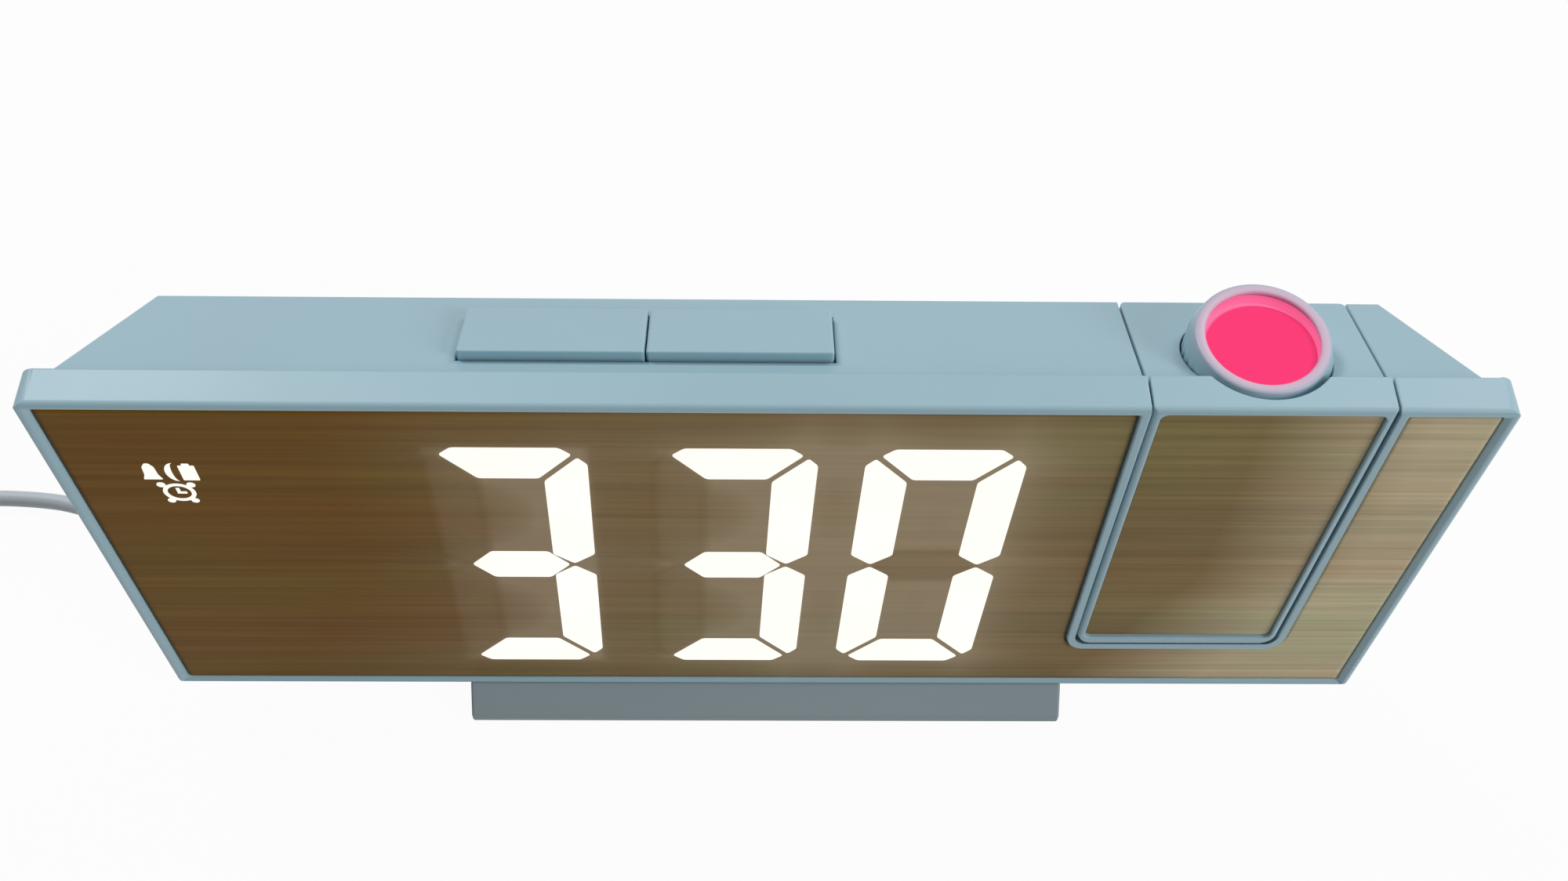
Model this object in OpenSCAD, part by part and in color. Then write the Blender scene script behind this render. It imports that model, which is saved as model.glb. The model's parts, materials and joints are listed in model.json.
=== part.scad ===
// Projection alarm clock. A wide, shallow case with a wood-grain front and a pyramid back
// stands on a low base. A projector block tilts in a notch at the right, its focus ring on top.
// Millimetres, +Z up. The origin is on the table, at the middle of the stand.

/* [Case] */
// Width of the front frame
case_w = 192; // [184:1:220]
// Height of the front frame
case_h = 80; // [79:0.5:90]
// Depth of the front frame
frame_d = 5.6; // [5.2:0.1:6.2]
// Depth of the case, front face to rear face
case_d = 25; // [24.6:0.1:28]
// Corner radius of the frame, seen from the front
corner_r = 2; // [1.5:0.5:3.5]
// Rounding of the frame's front edges
edge_r = 0.8; // [0.4:0.1:1]
// Thickness of the cover's walls
wall = 2; // [1.6:0.1:2.2]
// Step inwards from the frame's edge to the cover
cover_step = 1.6; // [1.2:0.1:2]
// How far the cover's sides stand in from the frame's sides
side_step = 2.6; // [1.6:0.1:3]
// How far the cover's ends slope inwards towards the back
side_slope = 8.6; // [7:0.2:9]
// How far the cover's top and bottom slope inwards towards the back
top_slope = 8.1; // [7:0.1:8.5]

/* [Front] */
// Width of the frame's visible edge above and beside the panel
frame_rim = 1.9; // [1.5:0.1:2.4]
// Width of the frame's visible edge below the panel
foot_rim = 1.2; // [1:0.1:1.8]
// Width of the slope from the frame's edge down to the panel
rim_slope = 0.8; // [0.4:0.1:1]
// Width of the ledge behind the panel
frame_ledge = 2.1; // [1.6:0.1:2.4]
// Depth of the panel's face behind the frame's face
panel_recess = 0.6; // [0.3:0.1:0.6]
// Thickness of the wood-grain panels
panel_t = 0.8; // [0.8:0.1:1.2]
// Gap round the panels
panel_gap = 0.3; // [0.2:0.1:0.6]

/* [Display] */
// Height of the digits above the case's lower edge
digit_z = 7.8; // [6.5:0.1:9]
// Distance from the digits to the case's upper edge
digit_top = 10.2; // [9:0.1:14]
// Gap between two digits
digit_gap = 6.3; // [5:0.1:8]
// Extra gap between hours and minutes
colon_room = 2.8; // [2:0.1:4]
// Width of the digits' upright strokes
stroke_v = 6; // [4.5:0.1:6.5]
// Height of the digits' level strokes
stroke_h = 7.5; // [5.5:0.1:8]
// Sideways lean of a digit per unit of height
digit_lean = 0.03; // [0:0.01:0.05]
// Radius of the colon dots
colon_r = 2; // [1.2:0.1:2.4]
// Thickness of the light film behind the panel
film_t = 0.3; // [0.2:0.1:0.5]
// Depth of the digit reflector
reflector_t = 6; // [5:0.5:6.5]
// Thickness of the light diffusers in the digits
diffuser_t = 2; // [1:0.5:3]
// Thickness of the circuit boards
board_t = 1.6; // [1:0.2:1.6]

/* [Stand] */
// Width of the stand
stand_w = 97; // [80:1:110]
// Depth of the stand
stand_d = 41; // [36:1:48]
// Height of the case above the table
stand_h = 6.5; // [5.5:0.5:9]
// How far the stand reaches in front of the case
stand_front = 4; // [2:0.5:8]
// Height of the stand's front edge
stand_nose = 1.8; // [1.2:0.2:2.4]
// Radius of the rubber feet
foot_r = 4; // [3:0.5:5]
// How far the rubber feet stand out
foot_proud = 0.5; // [0.3:0.1:1]

/* [Projector block] */
// Width of the projector block
block_w = 31.4; // [30:0.2:34]
// Distance from the block's middle to the case's right end
block_inset = 31.8; // [30:0.2:32]
// Height of the tilt axis above the case's lower edge
pivot_z = 28; // [26:0.5:32]
// Height of the block's lower end above the case's lower edge
block_toe = 15.3; // [14.6:0.1:17]
// Rounding of the block's lower edges
block_edge = 2.5; // [1.5:0.5:3]
// Wall thickness of the projector block
block_wall = 1.8; // [1.4:0.1:2.2]
// Visible edge of the block round its panel
block_lip = 1.1; // [1:0.1:2]
// Gap between the block and its notch
notch_gap = 0.3; // [0.3:0.05:0.6]
// Visible edge of the frame round the notch
notch_lip = 1.2; // [1:0.1:1.8]
// Radius of the tilt pins
pin_r = 4; // [3:0.25:4.5]
// Radius of the wire hole in the left tilt pin
pin_bore_r = 1.5; // [1:0.25:2]

/* [Focus] */
// Distance from the front face to the focus ring
ring_front = 2.1; // [2:0.1:2.6]
// Wall of the focus ring
ring_wall = 1.2; // [0.8:0.1:1.5]
// Radius of the opening in the focus ring's lip
ring_eye = 7.5; // [7:0.1:8]
// Height of the focus ring
ring_h = 9.6; // [8.8:0.2:10]
// Distance from the block's middle to the lens axis, forwards
lens_shift = 0.7; // [0.5:0.1:0.9]
// Thickness of the projection lens at its middle
lens_t = 3.2; // [2.6:0.2:4]
// Depth of the lens crown below the top of the focus ring
lens_sink = 1.6; // [1.6:0.2:3]

/* [Top keys] */
// Length of the two top keys together
bar_w = 49.4; // [40:0.2:52]
// Distance from the case's middle to the middle of the key bar, leftwards
bar_left = 16.6; // [10:0.2:20]
// Distance from the front face to the key bar
bar_front = 9.9; // [9:0.1:11]
// Distance from the key bar to the rear face
bar_back = 4.6; // [4.2:0.1:6]
// Height of the keys above the cover
bar_rise = 1.9; // [1.2:0.1:2.4]
// Gap round the keys
key_gap = 0.25; // [0.2:0.05:0.4]

/* [Rear keys] */
// Radius of a rear key
rear_key_r = 2.8; // [2:0.1:3.2]
// Distance between the rear keys
rear_key_pitch = 10; // [8.5:0.5:11]
// How far the rear keys stand out
rear_key_proud = 1; // [0.8:0.1:1.4]

/* [Lead] */
// Diameter of the power lead
lead_d = 2.8; // [2.4:0.1:3.4]
// Radius at the middle of the coil's turns
coil_r = 16; // [14:0.5:18]

/* [Hidden] */
$fn = 64;
slip = 0.1;          // clearance of parts that slide or turn in one another
pin_fit = 0.05;      // radial clearance of the tilt pins
cut = 1;             // overrun of cutting shapes
reach = 120;         // overrun of shapes that are cut to the case

case_blue = [0.62, 0.73, 0.77];
stand_blue = [0.52, 0.62, 0.66];
wood_brown = [0.45, 0.35, 0.22];
board_green = [0.10, 0.32, 0.20];
white_plastic = [0.90, 0.90, 0.88];
black_plastic = [0.08, 0.08, 0.09];
steel_grey = [0.70, 0.71, 0.73];
lead_grey = [0.66, 0.69, 0.73];
lens_pink = [1.0, 0.25, 0.46];

// ---- case frame: x to the right, y from the front face to the back, z from the lower edge
face_y = stand_front - stand_d / 2;
half_w = case_w / 2;
cover_d = case_d - frame_d;
side_in = wall / cos(atan(side_slope / cover_d));
roof_in = wall / cos(atan(top_slope / cover_d));
panel_back = panel_recess + panel_t;
film_back = panel_back + film_t;
reflector_back = film_back + reflector_t;
display_back = reflector_back + board_t;
rear_in = case_d - wall;

function side_x(y) = half_w - side_step - side_slope * (y - frame_d) / cover_d;
function floor_z(y) = cover_step + top_slope * (y - frame_d) / cover_d;
function roof_z(y) = case_h - floor_z(y);

// ---- pillars that take the cover's screws, and the room between the ledges
pillar_r = 3;
pillar_gap = 0.4;
screw_r = 1.3;
head_r = 2.3;
head_h = 1.6;
screw_bite = 3.4;
room_x0 = frame_rim + frame_ledge - half_w;
room_x1 = block_x() - notch_half() - notch_lip - frame_ledge;
pillar_right = room_x1 - pillar_gap - pillar_r;

// ---- digits, from the indicators at the left to the pillars at the right
indicator_side = 4.4;
indicator_w = 9.6;
indicator_h = 17;
indicator_gap = 0.4;
reflector_margin = 2.8;
reflector_sill = 2.4;
indicator_x = room_x0 + indicator_side + indicator_w / 2;
reflector_x0 = indicator_x + indicator_w / 2 + indicator_gap;
reflector_x1 = pillar_right - pillar_r - reflector_sill;
row_x0 = reflector_x0 + reflector_margin;
row_x1 = reflector_x1 - reflector_margin;
digit_h = case_h - digit_z - digit_top;
digit_w = (row_x1 - row_x0 - 3 * digit_gap - colon_room) / 4;
digit_x = [for (i = [0:3]) row_x0 + i * (digit_w + digit_gap) + (i > 1 ? colon_room : 0)];
colon_x = (digit_x[1] + digit_w + digit_x[2]) / 2;
dot_x = (digit_x[2] + digit_w + digit_x[3]) / 2 + 1;
dot_r = 1.7;
dot_drop = 4.5;
dot_z = digit_z + digit_h - dot_drop;
segment_gap = 0.7;
corner_cut = 0.22;
tip_run = 1.7;
point_h = 2.7;
reflector_z0 = digit_z - reflector_sill;
reflector_z1 = digit_z + digit_h + reflector_sill;
indicator_drop = 19.5;
indicator_z = case_h - indicator_drop;
icon_row_z = indicator_z + 4.1;
icon_low_z = indicator_z - 1.6;
icon_step = 2.9;

pillar_low = 15;
pillar_mid = 40;
pillar_drop = 16.5;
pillar_left = reflector_x0 - pillar_r - pillar_gap;
pillar_spots = [[pillar_left, pillar_low], [pillar_left, pillar_mid], [pillar_right, pillar_low], [pillar_right, case_h - pillar_drop]];
tab_h = 8;

// ---- projector block
function block_x() = half_w - block_inset;
function notch_half() = block_w / 2 + notch_gap;
pivot_y = case_d / 2;
drum_r = sqrt(pow(pivot_y, 2) + pow(pivot_z - block_toe, 2));
washer_t = 0.6;
washer_r = pivot_y - frame_d - pillar_gap;
clip_t = 0.8;
clip_r = pin_r + 1.6;
groove_r = pin_r - 0.6;
block_half = block_w / 2;
block_panel_r = 1.2;
notch_edge = min(block_edge, 1.8);  // small enough for the shaft's corners to pass
cheek = wall;

// ---- optics, heights above the case's lower edge
lens_y = pivot_y - lens_shift;
ring_r = lens_y - ring_front;
ring_top = case_h;
ring_z = ring_top - ring_h;
ring_bore = ring_r - ring_wall;
well_gap = 0.2;
barrel_r = ring_bore - slip;
barrel_wall = 0.6;
lens_r = barrel_r - barrel_wall;
lens_edge = 2;
tube_bore = ring_bore;
tube_r = tube_bore + 0.8;
engine_gap = 1;
engine_board_t = 1.2;
engine_z = pivot_z + pin_r + engine_gap;
box_z = engine_z + engine_board_t;
tube_share = 0.55;
tube_h = (ring_z - slip - box_z) * tube_share;
tube_z = ring_z - slip - tube_h;
lens_top = ring_top - lens_sink;
barrel_top = lens_top - 0.2;
barrel_h = 16;
key_w = 1.2;                 // rib that stops the barrel from turning
key_h = 0.5;
cavity_w = block_w - 2 * block_wall;
cavity_y0 = panel_back + 1;
cavity_y1 = case_d - block_wall;
cavity_z0 = block_toe + block_wall;
cavity_z1 = ring_z - 4;
box_gap = 0.4;
box_wall = 1;
box_w = 2 * (lens_y - cavity_y0 - box_gap);
box_h = tube_z - box_z;
condenser_r = box_w / 2 - 2 * box_wall;
condenser_t = 4;
condenser_drop = 4.5;
condenser_z = box_z + condenser_drop;
slide_t = 1.4;
slide_drop = 1.2;
slide_z = tube_z - slide_t - slide_drop;
shelf_h = 2;

// ---- main board and its parts
main_t = board_t;
main_rear = 9.5;
main_y = case_d - main_rear;
main_back = main_y + main_t;
main_x0 = -50;
main_x1 = 30;
main_z0 = 20;
main_drop = 20;
main_z1 = case_h - main_drop;
boss_r = 2.5;
boss_in = 3.6;
boss_spots = [for (x = [main_x0 + boss_in, main_x1 - boss_in], z = [main_z0 + boss_in, main_z1 - boss_in]) [x, z]];
rib_r = 2.2;
rib_in = 5.4;
rib_left = 15.6;
rib_right = 3.1;
rib_spots = [for (x = [reflector_x0 + rib_left, reflector_x1 - rib_right], z = [reflector_z0 + rib_in, reflector_z1 - rib_in]) [x, z]];
rear_key_drop = 10;
rear_key_z = main_z1 - rear_key_drop;
rear_key_x0 = -43.5;
connector_x0 = -20;
connector_x1 = 6;
connector_h = 4;
connector_in = 2;
switch_w = 6;
switch_h = 3;
switch_bore = 1.7;
stem_r = switch_bore - slip;
stem_in = 1;
key_flange = 0.8;
key_flange_t = 1;
key_board_z = main_z1;
key_board_t = 1.2;
bar_d = case_d - bar_back - bar_front;
key_board_y0 = bar_front + 0.3;
key_board_y1 = bar_front + bar_d;
top_switch_h = 4;

cell_r = 10;
cell_t = 3.2;
holder_r = 11.2;
holder_wall = 1;
holder_t = 2.4;
cell_x = 15.5;
cell_z = 38;
door_w = 27;
door_t = 1.4;
door_ledge = 1.2;
door_tab = 6;

buzzer_r = 8;
buzzer_t = 4;
buzzer_gap = 2;
buzzer_x = pillar_left + pillar_r + buzzer_gap + buzzer_r;
buzzer_z = 42;
grille_count = 5;
grille_pitch = 2.6;
grille_w = 1.2;
grille_l = 11;

usb_w = 13.1;
usb_h = 5.7;
usb_l = 10;
usb_skin = 0.4;
usb_x = -20;
usb_z = 16.8;
socket_w = 9;
socket_h = 9;
socket_l = 11;
socket_x = -60;
socket_z = 20;
socket_bore = 1.9;

// ---- lead: plug, sleeve and route
plug_r = 4;
plug_l = 13;
tip_r = socket_bore - slip;
tip_l = 9;
sleeve_l = 9;
sleeve_r0 = 2.9;
sleeve_r1 = lead_d / 2 + 0.4;
sleeve_end_y = face_y + case_d + plug_l + sleeve_l;
lead_z = lead_d / 2;
lead_sides = 8;
exit = [socket_x, sleeve_end_y, socket_z + stand_h];

// Run of the lead from its exit: sideways, backwards, and how much of its height is left
run = [
  [0, 0, 1], [0, 5, 0.99], [-0.2, 9.5, 0.94], [-1.2, 14, 0.82], [-3, 17.6, 0.65],
  [-6, 20, 0.46], [-10, 20.8, 0.28], [-15, 20, 0.13], [-20.5, 17.5, 0.04], [-26, 13.5, 0.01],
  [-31.2, 8.5, 0], [-36.5, 2.5, 0], [-41.5, -3.5, 0], [-46.8, -8.3, 0], [-52.5, -10.9, 0],
  [-58.5, -11.1, 0], [-65, -9.6, 0], [-71.5, -8.9, 0], [-78, -8.8, 0], [-84.5, -9.5, 0],
  [-91, -11.9, 0], [-97, -13.9, 0], [-103, -14.7, 0]
];
route = [for (p = run) [exit[0] + p[0], exit[1] + p[1], lead_z + p[2] * (exit[2] - lead_z)]];
coil_turns_across = 4;
coil_turns_up = 4;
coil_w = coil_turns_across * lead_d;
coil_h = coil_turns_up * lead_d;
coil_bite = 7;
coil_x = route[len(route) - 1][0] - coil_bite;
coil_y = route[len(route) - 1][1] + coil_r + coil_w / 2 - lead_z;
coil_outer = coil_r + coil_w / 2;
tie_w = 4;
tie_t = 0.8;
usb_plug_w = 16;
usb_plug_h = 8;
usb_plug_l = 24;
usb_shell_w = 12;
usb_shell_h = 4.5;
usb_shell_l = 12;
end_turn = 8;                // radius of the lead's last bend
usb_plug_x = coil_x + coil_outer - lead_z - end_turn - usb_plug_l / 2;
usb_plug_y = coil_y - coil_outer - slip - usb_plug_w;

// Run of the lead's end from the coil's right side to the plug: sideways, share of the way back to the plug's
// middle, and share of the height between the plug's middle and the coil's top turn
end_run = [[0, 0, 1], [0, 0.2, 0.97], [-0.1, 0.4, 0.8], [-0.4, 0.59, 0.48], [-1.2, 0.74, 0.2], [-2.8, 0.87, 0.05], [-5.2, 0.96, 0], [-end_turn, 1, 0]];
end_route = [for (p = end_run)
  [coil_x + coil_outer - lead_z + p[0], coil_y + p[1] * (usb_plug_y + usb_plug_w / 2 - coil_y),
   usb_plug_h / 2 + p[2] * (coil_h - lead_z - usb_plug_h / 2)]];

// ================= helpers =================

module at_case() translate([0, face_y, stand_h]) children();

// 2D outline in x and z, carried from y0 to y1
module along_y(y0, y1) translate([0, y1, 0]) rotate([90, 0, 0]) linear_extrude(y1 - y0) children();

// 2D outline in y and z, carried from x0 to x1
module along_x(x0, x1) translate([x0, 0, 0]) rotate([90, 0, 90]) linear_extrude(x1 - x0) children();

// Round bar along y, from y0 to y1, at x and z
module bar_y(x, z, r, y0, y1) translate([x, y0, z]) rotate([-90, 0, 0]) cylinder(h = y1 - y0, r = r);

// Round bar along x, from x0 to x1, at y and z
module bar_x(y, z, r, x0, x1) translate([x0, y, z]) rotate([0, 90, 0]) cylinder(h = x1 - x0, r = r);

// Box from its low corner to its high corner
module span(low, high) translate(low) cube(high - low);

module round_rect(w, h, r) {
  square([w - 2 * r, h], center = true);
  square([w, h - 2 * r], center = true);
  for (x = [-1, 1], y = [-1, 1]) translate([x * (w / 2 - r), y * (h / 2 - r)]) circle(r);
}

// Outline of the frame, drawn inwards by inset
module face_outline(inset)
  translate([0, case_h / 2]) round_rect(case_w - 2 * inset, case_h - 2 * inset, max(corner_r - inset, 0.4));

// Outline of the frame's opening, drawn inwards by inset
module face_opening(inset) {
  low = foot_rim + inset;
  high = case_h - frame_rim - inset;
  translate([0, (low + high) / 2])
    round_rect(case_w - 2 * (frame_rim + inset), high - low, max(corner_r - frame_rim - inset, 0.4));
}

// Mouth of the opening, which widens from the panel's face towards the front
module opening_mouth() {
  y0 = -panel_recess;
  y1 = panel_recess;
  wide = 2 * rim_slope;
  x = half_w - frame_rim;
  high = case_h - frame_rim;
  intersection() {
    along_x(-case_w, case_w) polygon([[y0, foot_rim - wide], [y1, foot_rim], [y1, high], [y0, high + wide]]);
    translate([0, 0, -reach]) linear_extrude(2 * reach) polygon([[-x - wide, y0], [x + wide, y0], [x, y1], [-x, y1]]);
  }
}

// Side view of the frame, its front edges rounded
module frame_side() {
  translate([edge_r, 0]) square([frame_d - edge_r, case_h]);
  translate([0, edge_r]) square([frame_d, case_h - 2 * edge_r]);
  for (z = [edge_r, case_h - edge_r]) translate([edge_r, z]) circle(edge_r);
}

// Plan view of the frame, its front edges rounded
module frame_plan() {
  translate([-half_w, edge_r]) square([case_w, frame_d - edge_r]);
  translate([edge_r - half_w, 0]) square([case_w - 2 * edge_r, frame_d]);
  for (s = [-1, 1]) translate([s * (half_w - edge_r), edge_r]) circle(edge_r);
}

// Solid of the rear cover, drawn inwards by one wall when inner is 1
module cover_form(inner) {
  y0 = frame_d - inner * cut;
  y1 = case_d - inner * wall;
  sx = inner * side_in;
  sz = inner * roof_in;
  intersection() {
    along_x(-half_w, half_w)
      polygon([[y0, floor_z(y0) + sz], [y1, floor_z(y1) + sz], [y1, roof_z(y1) - sz], [y0, roof_z(y0) - sz]]);
    linear_extrude(case_h)
      polygon([[sx - side_x(y0), y0], [side_x(y0) - sx, y0], [side_x(y1) - sx, y1], [sx - side_x(y1), y1]]);
  }
}

// Round-edged drum on the tilt axis, with the shaft above it: the block when grow is 0,
// its notch when grow is the gap, and the notch's walls when grow is more
module block_form(grow) {
  r = drum_r + grow;
  half = block_half + grow;
  edge = grow > 0 ? notch_edge + grow - notch_gap : block_edge;
  translate([block_x(), pivot_y, pivot_z]) rotate([0, 90, 0]) rotate_extrude() {
    translate([0, -half]) square([r - edge, 2 * half]);
    translate([0, edge - half]) square([r, 2 * (half - edge)]);
    for (s = [-1, 1]) translate([r - edge, s * (half - edge)]) circle(edge);
  }
  span([block_x() - half, -reach, pivot_z], [block_x() + half, reach, case_h + reach]);
}

// ================= front =================

module front_frame() {
  color(case_blue) at_case() difference() {
    union() {
      difference() {
        intersection() {
          along_y(0, frame_d) face_outline(0);
          along_x(-half_w, half_w) frame_side();
          linear_extrude(case_h) frame_plan();
        }
        difference() {
          union() {
            along_y(-cut, panel_back) face_opening(0);
            opening_mouth();
          }
          block_form(notch_gap + notch_lip);
        }
        difference() {
          along_y(panel_back - 0.01, frame_d + cut) face_outline(frame_rim + frame_ledge);
          block_form(notch_gap + notch_lip + frame_ledge);
        }
      }
      frame_tabs();
    }
    block_form(notch_gap);
    for (p = pillar_spots) bar_y(p[0], p[1], screw_r + slip / 2, panel_back + 0.4, frame_d + cut);
  }
}

// Lugs on the ledge that take the cover's screws
module frame_tabs() {
  edge_x = half_w - frame_rim - frame_ledge;
  for (p = pillar_spots) {
    left = p[0] < 0;
    x0 = left ? -edge_x - 0.5 : p[0] - pillar_r;
    x1 = left ? p[0] + pillar_r : block_x() - notch_half() - notch_lip - frame_ledge + 0.5;
    span([x0, panel_back, p[1] - tab_h / 2], [x1, frame_d, p[1] + tab_h / 2]);
  }
}

module wood_panel() {
  color(wood_brown) at_case() difference() {
    along_y(panel_recess, panel_back) face_opening(panel_gap);
    block_form(notch_gap + notch_lip + panel_gap);
  }
}

module diffuser_film() {
  color(white_plastic, 0.5) at_case() along_y(panel_back, film_back) display_area();
}

// Area of the digits and of the indicators
module display_area() {
  translate([reflector_x0, reflector_z0])
    square([reflector_x1 - reflector_x0, reflector_z1 - reflector_z0]);
  translate([indicator_x - indicator_w / 2, indicator_z - indicator_h / 2])
    square([indicator_w + indicator_gap + cut, indicator_h]);
}

// Corner points of a digit's level stroke at the top
function level_points() = let(s = corner_cut, g = segment_gap) [
  [s * stroke_v + g, digit_h - s * stroke_h],
  [s * stroke_v + g + tip_run, digit_h],
  [digit_w - s * stroke_v - g - tip_run, digit_h],
  [digit_w - s * stroke_v - g, digit_h - s * stroke_h],
  [digit_w - stroke_v - g, digit_h - stroke_h],
  [stroke_v + g, digit_h - stroke_h]
];

// Corner points of the upright stroke at the upper left
function upright_points() = let(s = corner_cut, g = segment_gap, mid = digit_h / 2 + segment_gap / 2) [
  [0, digit_h - s * stroke_h - g - tip_run],
  [s * stroke_v, digit_h - s * stroke_h - g],
  [stroke_v, digit_h - stroke_h - g],
  [stroke_v, mid + point_h],
  [stroke_v / 2, mid],
  [0, mid + point_h]
];

// Corner points of the middle stroke
function middle_points() = let(x0 = stroke_v / 2 + segment_gap, run = point_h + 0.3, m = digit_h / 2) [
  [x0, m], [x0 + run, m + stroke_h / 2], [digit_w - x0 - run, m + stroke_h / 2],
  [digit_w - x0, m], [digit_w - x0 - run, m - stroke_h / 2], [x0 + run, m - stroke_h / 2]
];

function flip_x(points) = [for (p = points) [digit_w - p[0], p[1]]];
function flip_z(points) = [for (p = points) [p[0], digit_h - p[1]]];
function lean(points) = [for (p = points) [p[0] + digit_lean * (p[1] - digit_h / 2), p[1]]];

// The seven strokes of a digit, from the top one clockwise, the middle one last
strokes = [
  level_points(), flip_x(upright_points()), flip_x(flip_z(upright_points())), flip_z(level_points()),
  flip_z(upright_points()), upright_points(), middle_points()
];

// All strokes, colon dots and the alarm dot, in x and z
module digit_windows() {
  for (x = digit_x, s = strokes) translate([x, digit_z]) polygon(lean(s));
  for (z = [1 / 3, 2 / 3]) translate([colon_x, digit_z + z * digit_h]) circle(colon_r);
  translate([dot_x, dot_z]) circle(dot_r);
}

module digit_reflector() {
  color(white_plastic) at_case() difference() {
    along_y(film_back, reflector_back)
      translate([reflector_x0, reflector_z0])
        square([reflector_x1 - reflector_x0, reflector_z1 - reflector_z0]);
    along_y(film_back - cut, reflector_back + cut) digit_windows();
  }
}

module digit_diffusers() {
  color([1, 0.98, 0.92]) at_case() along_y(film_back, film_back + diffuser_t) digit_windows();
}

// Bell, moon, dot and clock-face marks
module indicator_windows() {
  translate([indicator_x - icon_step, icon_row_z]) {
    translate([0, 0.3]) circle(0.8);
    polygon([[-0.8, 0.3], [0.8, 0.3], [1.2, -0.9], [-1.2, -0.9]]);
  }
  translate([indicator_x, icon_row_z]) difference() {
    circle(1.2);
    translate([0.6, 0.4]) circle(0.95);
  }
  translate([indicator_x + icon_step, icon_row_z]) circle(0.8);
  translate([indicator_x + 0.8, icon_low_z]) difference() {
    circle(2.2);
    circle(1.5);
  }
}

module indicator_block() {
  color(black_plastic) at_case() difference() {
    along_y(film_back, reflector_back)
      translate([indicator_x, indicator_z]) square([indicator_w, indicator_h], center = true);
    along_y(film_back - cut, reflector_back) indicator_windows();
    along_y(film_back + diffuser_t, reflector_back + cut)
      translate([indicator_x, indicator_z]) square([indicator_w - 2, indicator_h - 2], center = true);
  }
}

module indicator_diffusers() {
  color([1, 0.98, 0.92]) at_case() along_y(film_back, film_back + diffuser_t) indicator_windows();
}

module display_board() {
  color(board_green) at_case() along_y(reflector_back, display_back) display_area();
}

// Middles of the digits' strokes, for the light sources behind them
function stroke_mid(s) = let(p = lean(s)) [
  (max([for (q = p) q[0]]) + min([for (q = p) q[0]])) / 2,
  (max([for (q = p) q[1]]) + min([for (q = p) q[1]])) / 2
];

module led_chips() {
  chip = [2, 0.8, 1.4];
  spots = concat(
    [for (x = digit_x, s = strokes) stroke_mid(s) + [x, digit_z]],
    [for (z = [1 / 3, 2 / 3]) [colon_x, digit_z + z * digit_h]],
    [[dot_x, dot_z], [indicator_x, icon_row_z], [indicator_x, icon_low_z]]
  );
  color("lightyellow") at_case() for (p = spots)
    translate([p[0] - chip[0] / 2, reflector_back - chip[1], p[1] - chip[2] / 2]) cube(chip);
}

module board_connector() {
  color(black_plastic) at_case() span([connector_x0, display_back, main_z0 + connector_in],
         [connector_x1, main_y, main_z0 + connector_in + connector_h]);
}

// ================= rear cover and what it holds =================

module rear_cover() {
  color(case_blue) at_case() difference() {
    union() {
      difference() {
        cover_form(0);
        cover_form(1);
      }
      intersection() {
        cover_form(0);
        union() {
          block_form(notch_gap + cheek);
          for (p = pillar_spots) bar_y(p[0], p[1], pillar_r, frame_d, case_d);
          for (p = boss_spots) bar_y(p[0], p[1], boss_r, main_back, case_d);
          for (p = rib_spots) bar_y(p[0], p[1], rib_r, display_back, case_d);
          stand_bosses();
          door_well();
        }
      }
    }
    block_form(notch_gap);
    for (p = pillar_spots) {
      bar_y(p[0], p[1], screw_r + slip, frame_d - cut, case_d + cut);
      bar_y(p[0], p[1], head_r + slip, case_d - head_h, case_d + cut);
    }
    for (p = boss_spots) bar_y(p[0], p[1], screw_r + slip / 2, main_back - cut, rear_in + 0.2);
    for (i = [0:4]) bar_y(rear_key_x(i), rear_key_z, rear_key_r + key_gap, rear_in - cut, case_d + cut);
    bar_x(pivot_y, pivot_z, pin_r + pin_fit, block_x() - notch_half() - cheek - cut, block_x() + notch_half() + cheek + cut);
    key_bar_hole();
    stand_screw_holes();
    grille();
    door_hole();
    span([usb_x - usb_w / 2 - slip, rear_in - cut, usb_z - usb_h / 2 - slip],
         [usb_x + usb_w / 2 + slip, case_d + cut, usb_z + usb_h / 2 + slip]);
    bar_y(socket_x, socket_z, plug_r + 0.5, rear_in - cut, case_d + cut);
  }
}

function rear_key_x(i) = rear_key_x0 + i * rear_key_pitch;

// Opening in the roof for the two top keys
module key_bar_hole() {
  span([-bar_left - bar_w / 2 - key_gap, bar_front - key_gap, case_h / 2],
       [bar_w / 2 - bar_left + key_gap, bar_front + bar_d + key_gap, case_h + cut]);
}

// Slots in front of the buzzer
module grille() {
  for (i = [0:grille_count - 1]) {
    z = buzzer_z + (i - (grille_count - 1) / 2) * grille_pitch;
    span([buzzer_x - grille_l / 2, rear_in - cut, z - grille_w / 2], [buzzer_x + grille_l / 2, case_d + cut, z + grille_w / 2]);
  }
}

// Wall round the battery, between the rear wall and the holder
module door_well() {
  span([cell_x - door_w / 2 - door_ledge, rear_in - 1, cell_z - door_w / 2 - door_tab - door_ledge],
       [cell_x + door_w / 2 + door_ledge, case_d, cell_z + door_w / 2 + door_ledge]);
}

// Recess for the battery door, the round opening behind it and its screw hole
module door_hole() {
  span([cell_x - door_w / 2, case_d - door_t, cell_z - door_w / 2 - door_tab],
       [cell_x + door_w / 2, case_d + cut, cell_z + door_w / 2]);
  bar_y(cell_x, cell_z, holder_r + 0.3, rear_in - 2 * cut, case_d);
  bar_y(cell_x, door_screw_z(), screw_r + slip / 2, rear_in - 0.4, case_d);
}

function door_screw_z() = cell_z - door_w / 2 - door_tab / 2;

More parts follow.
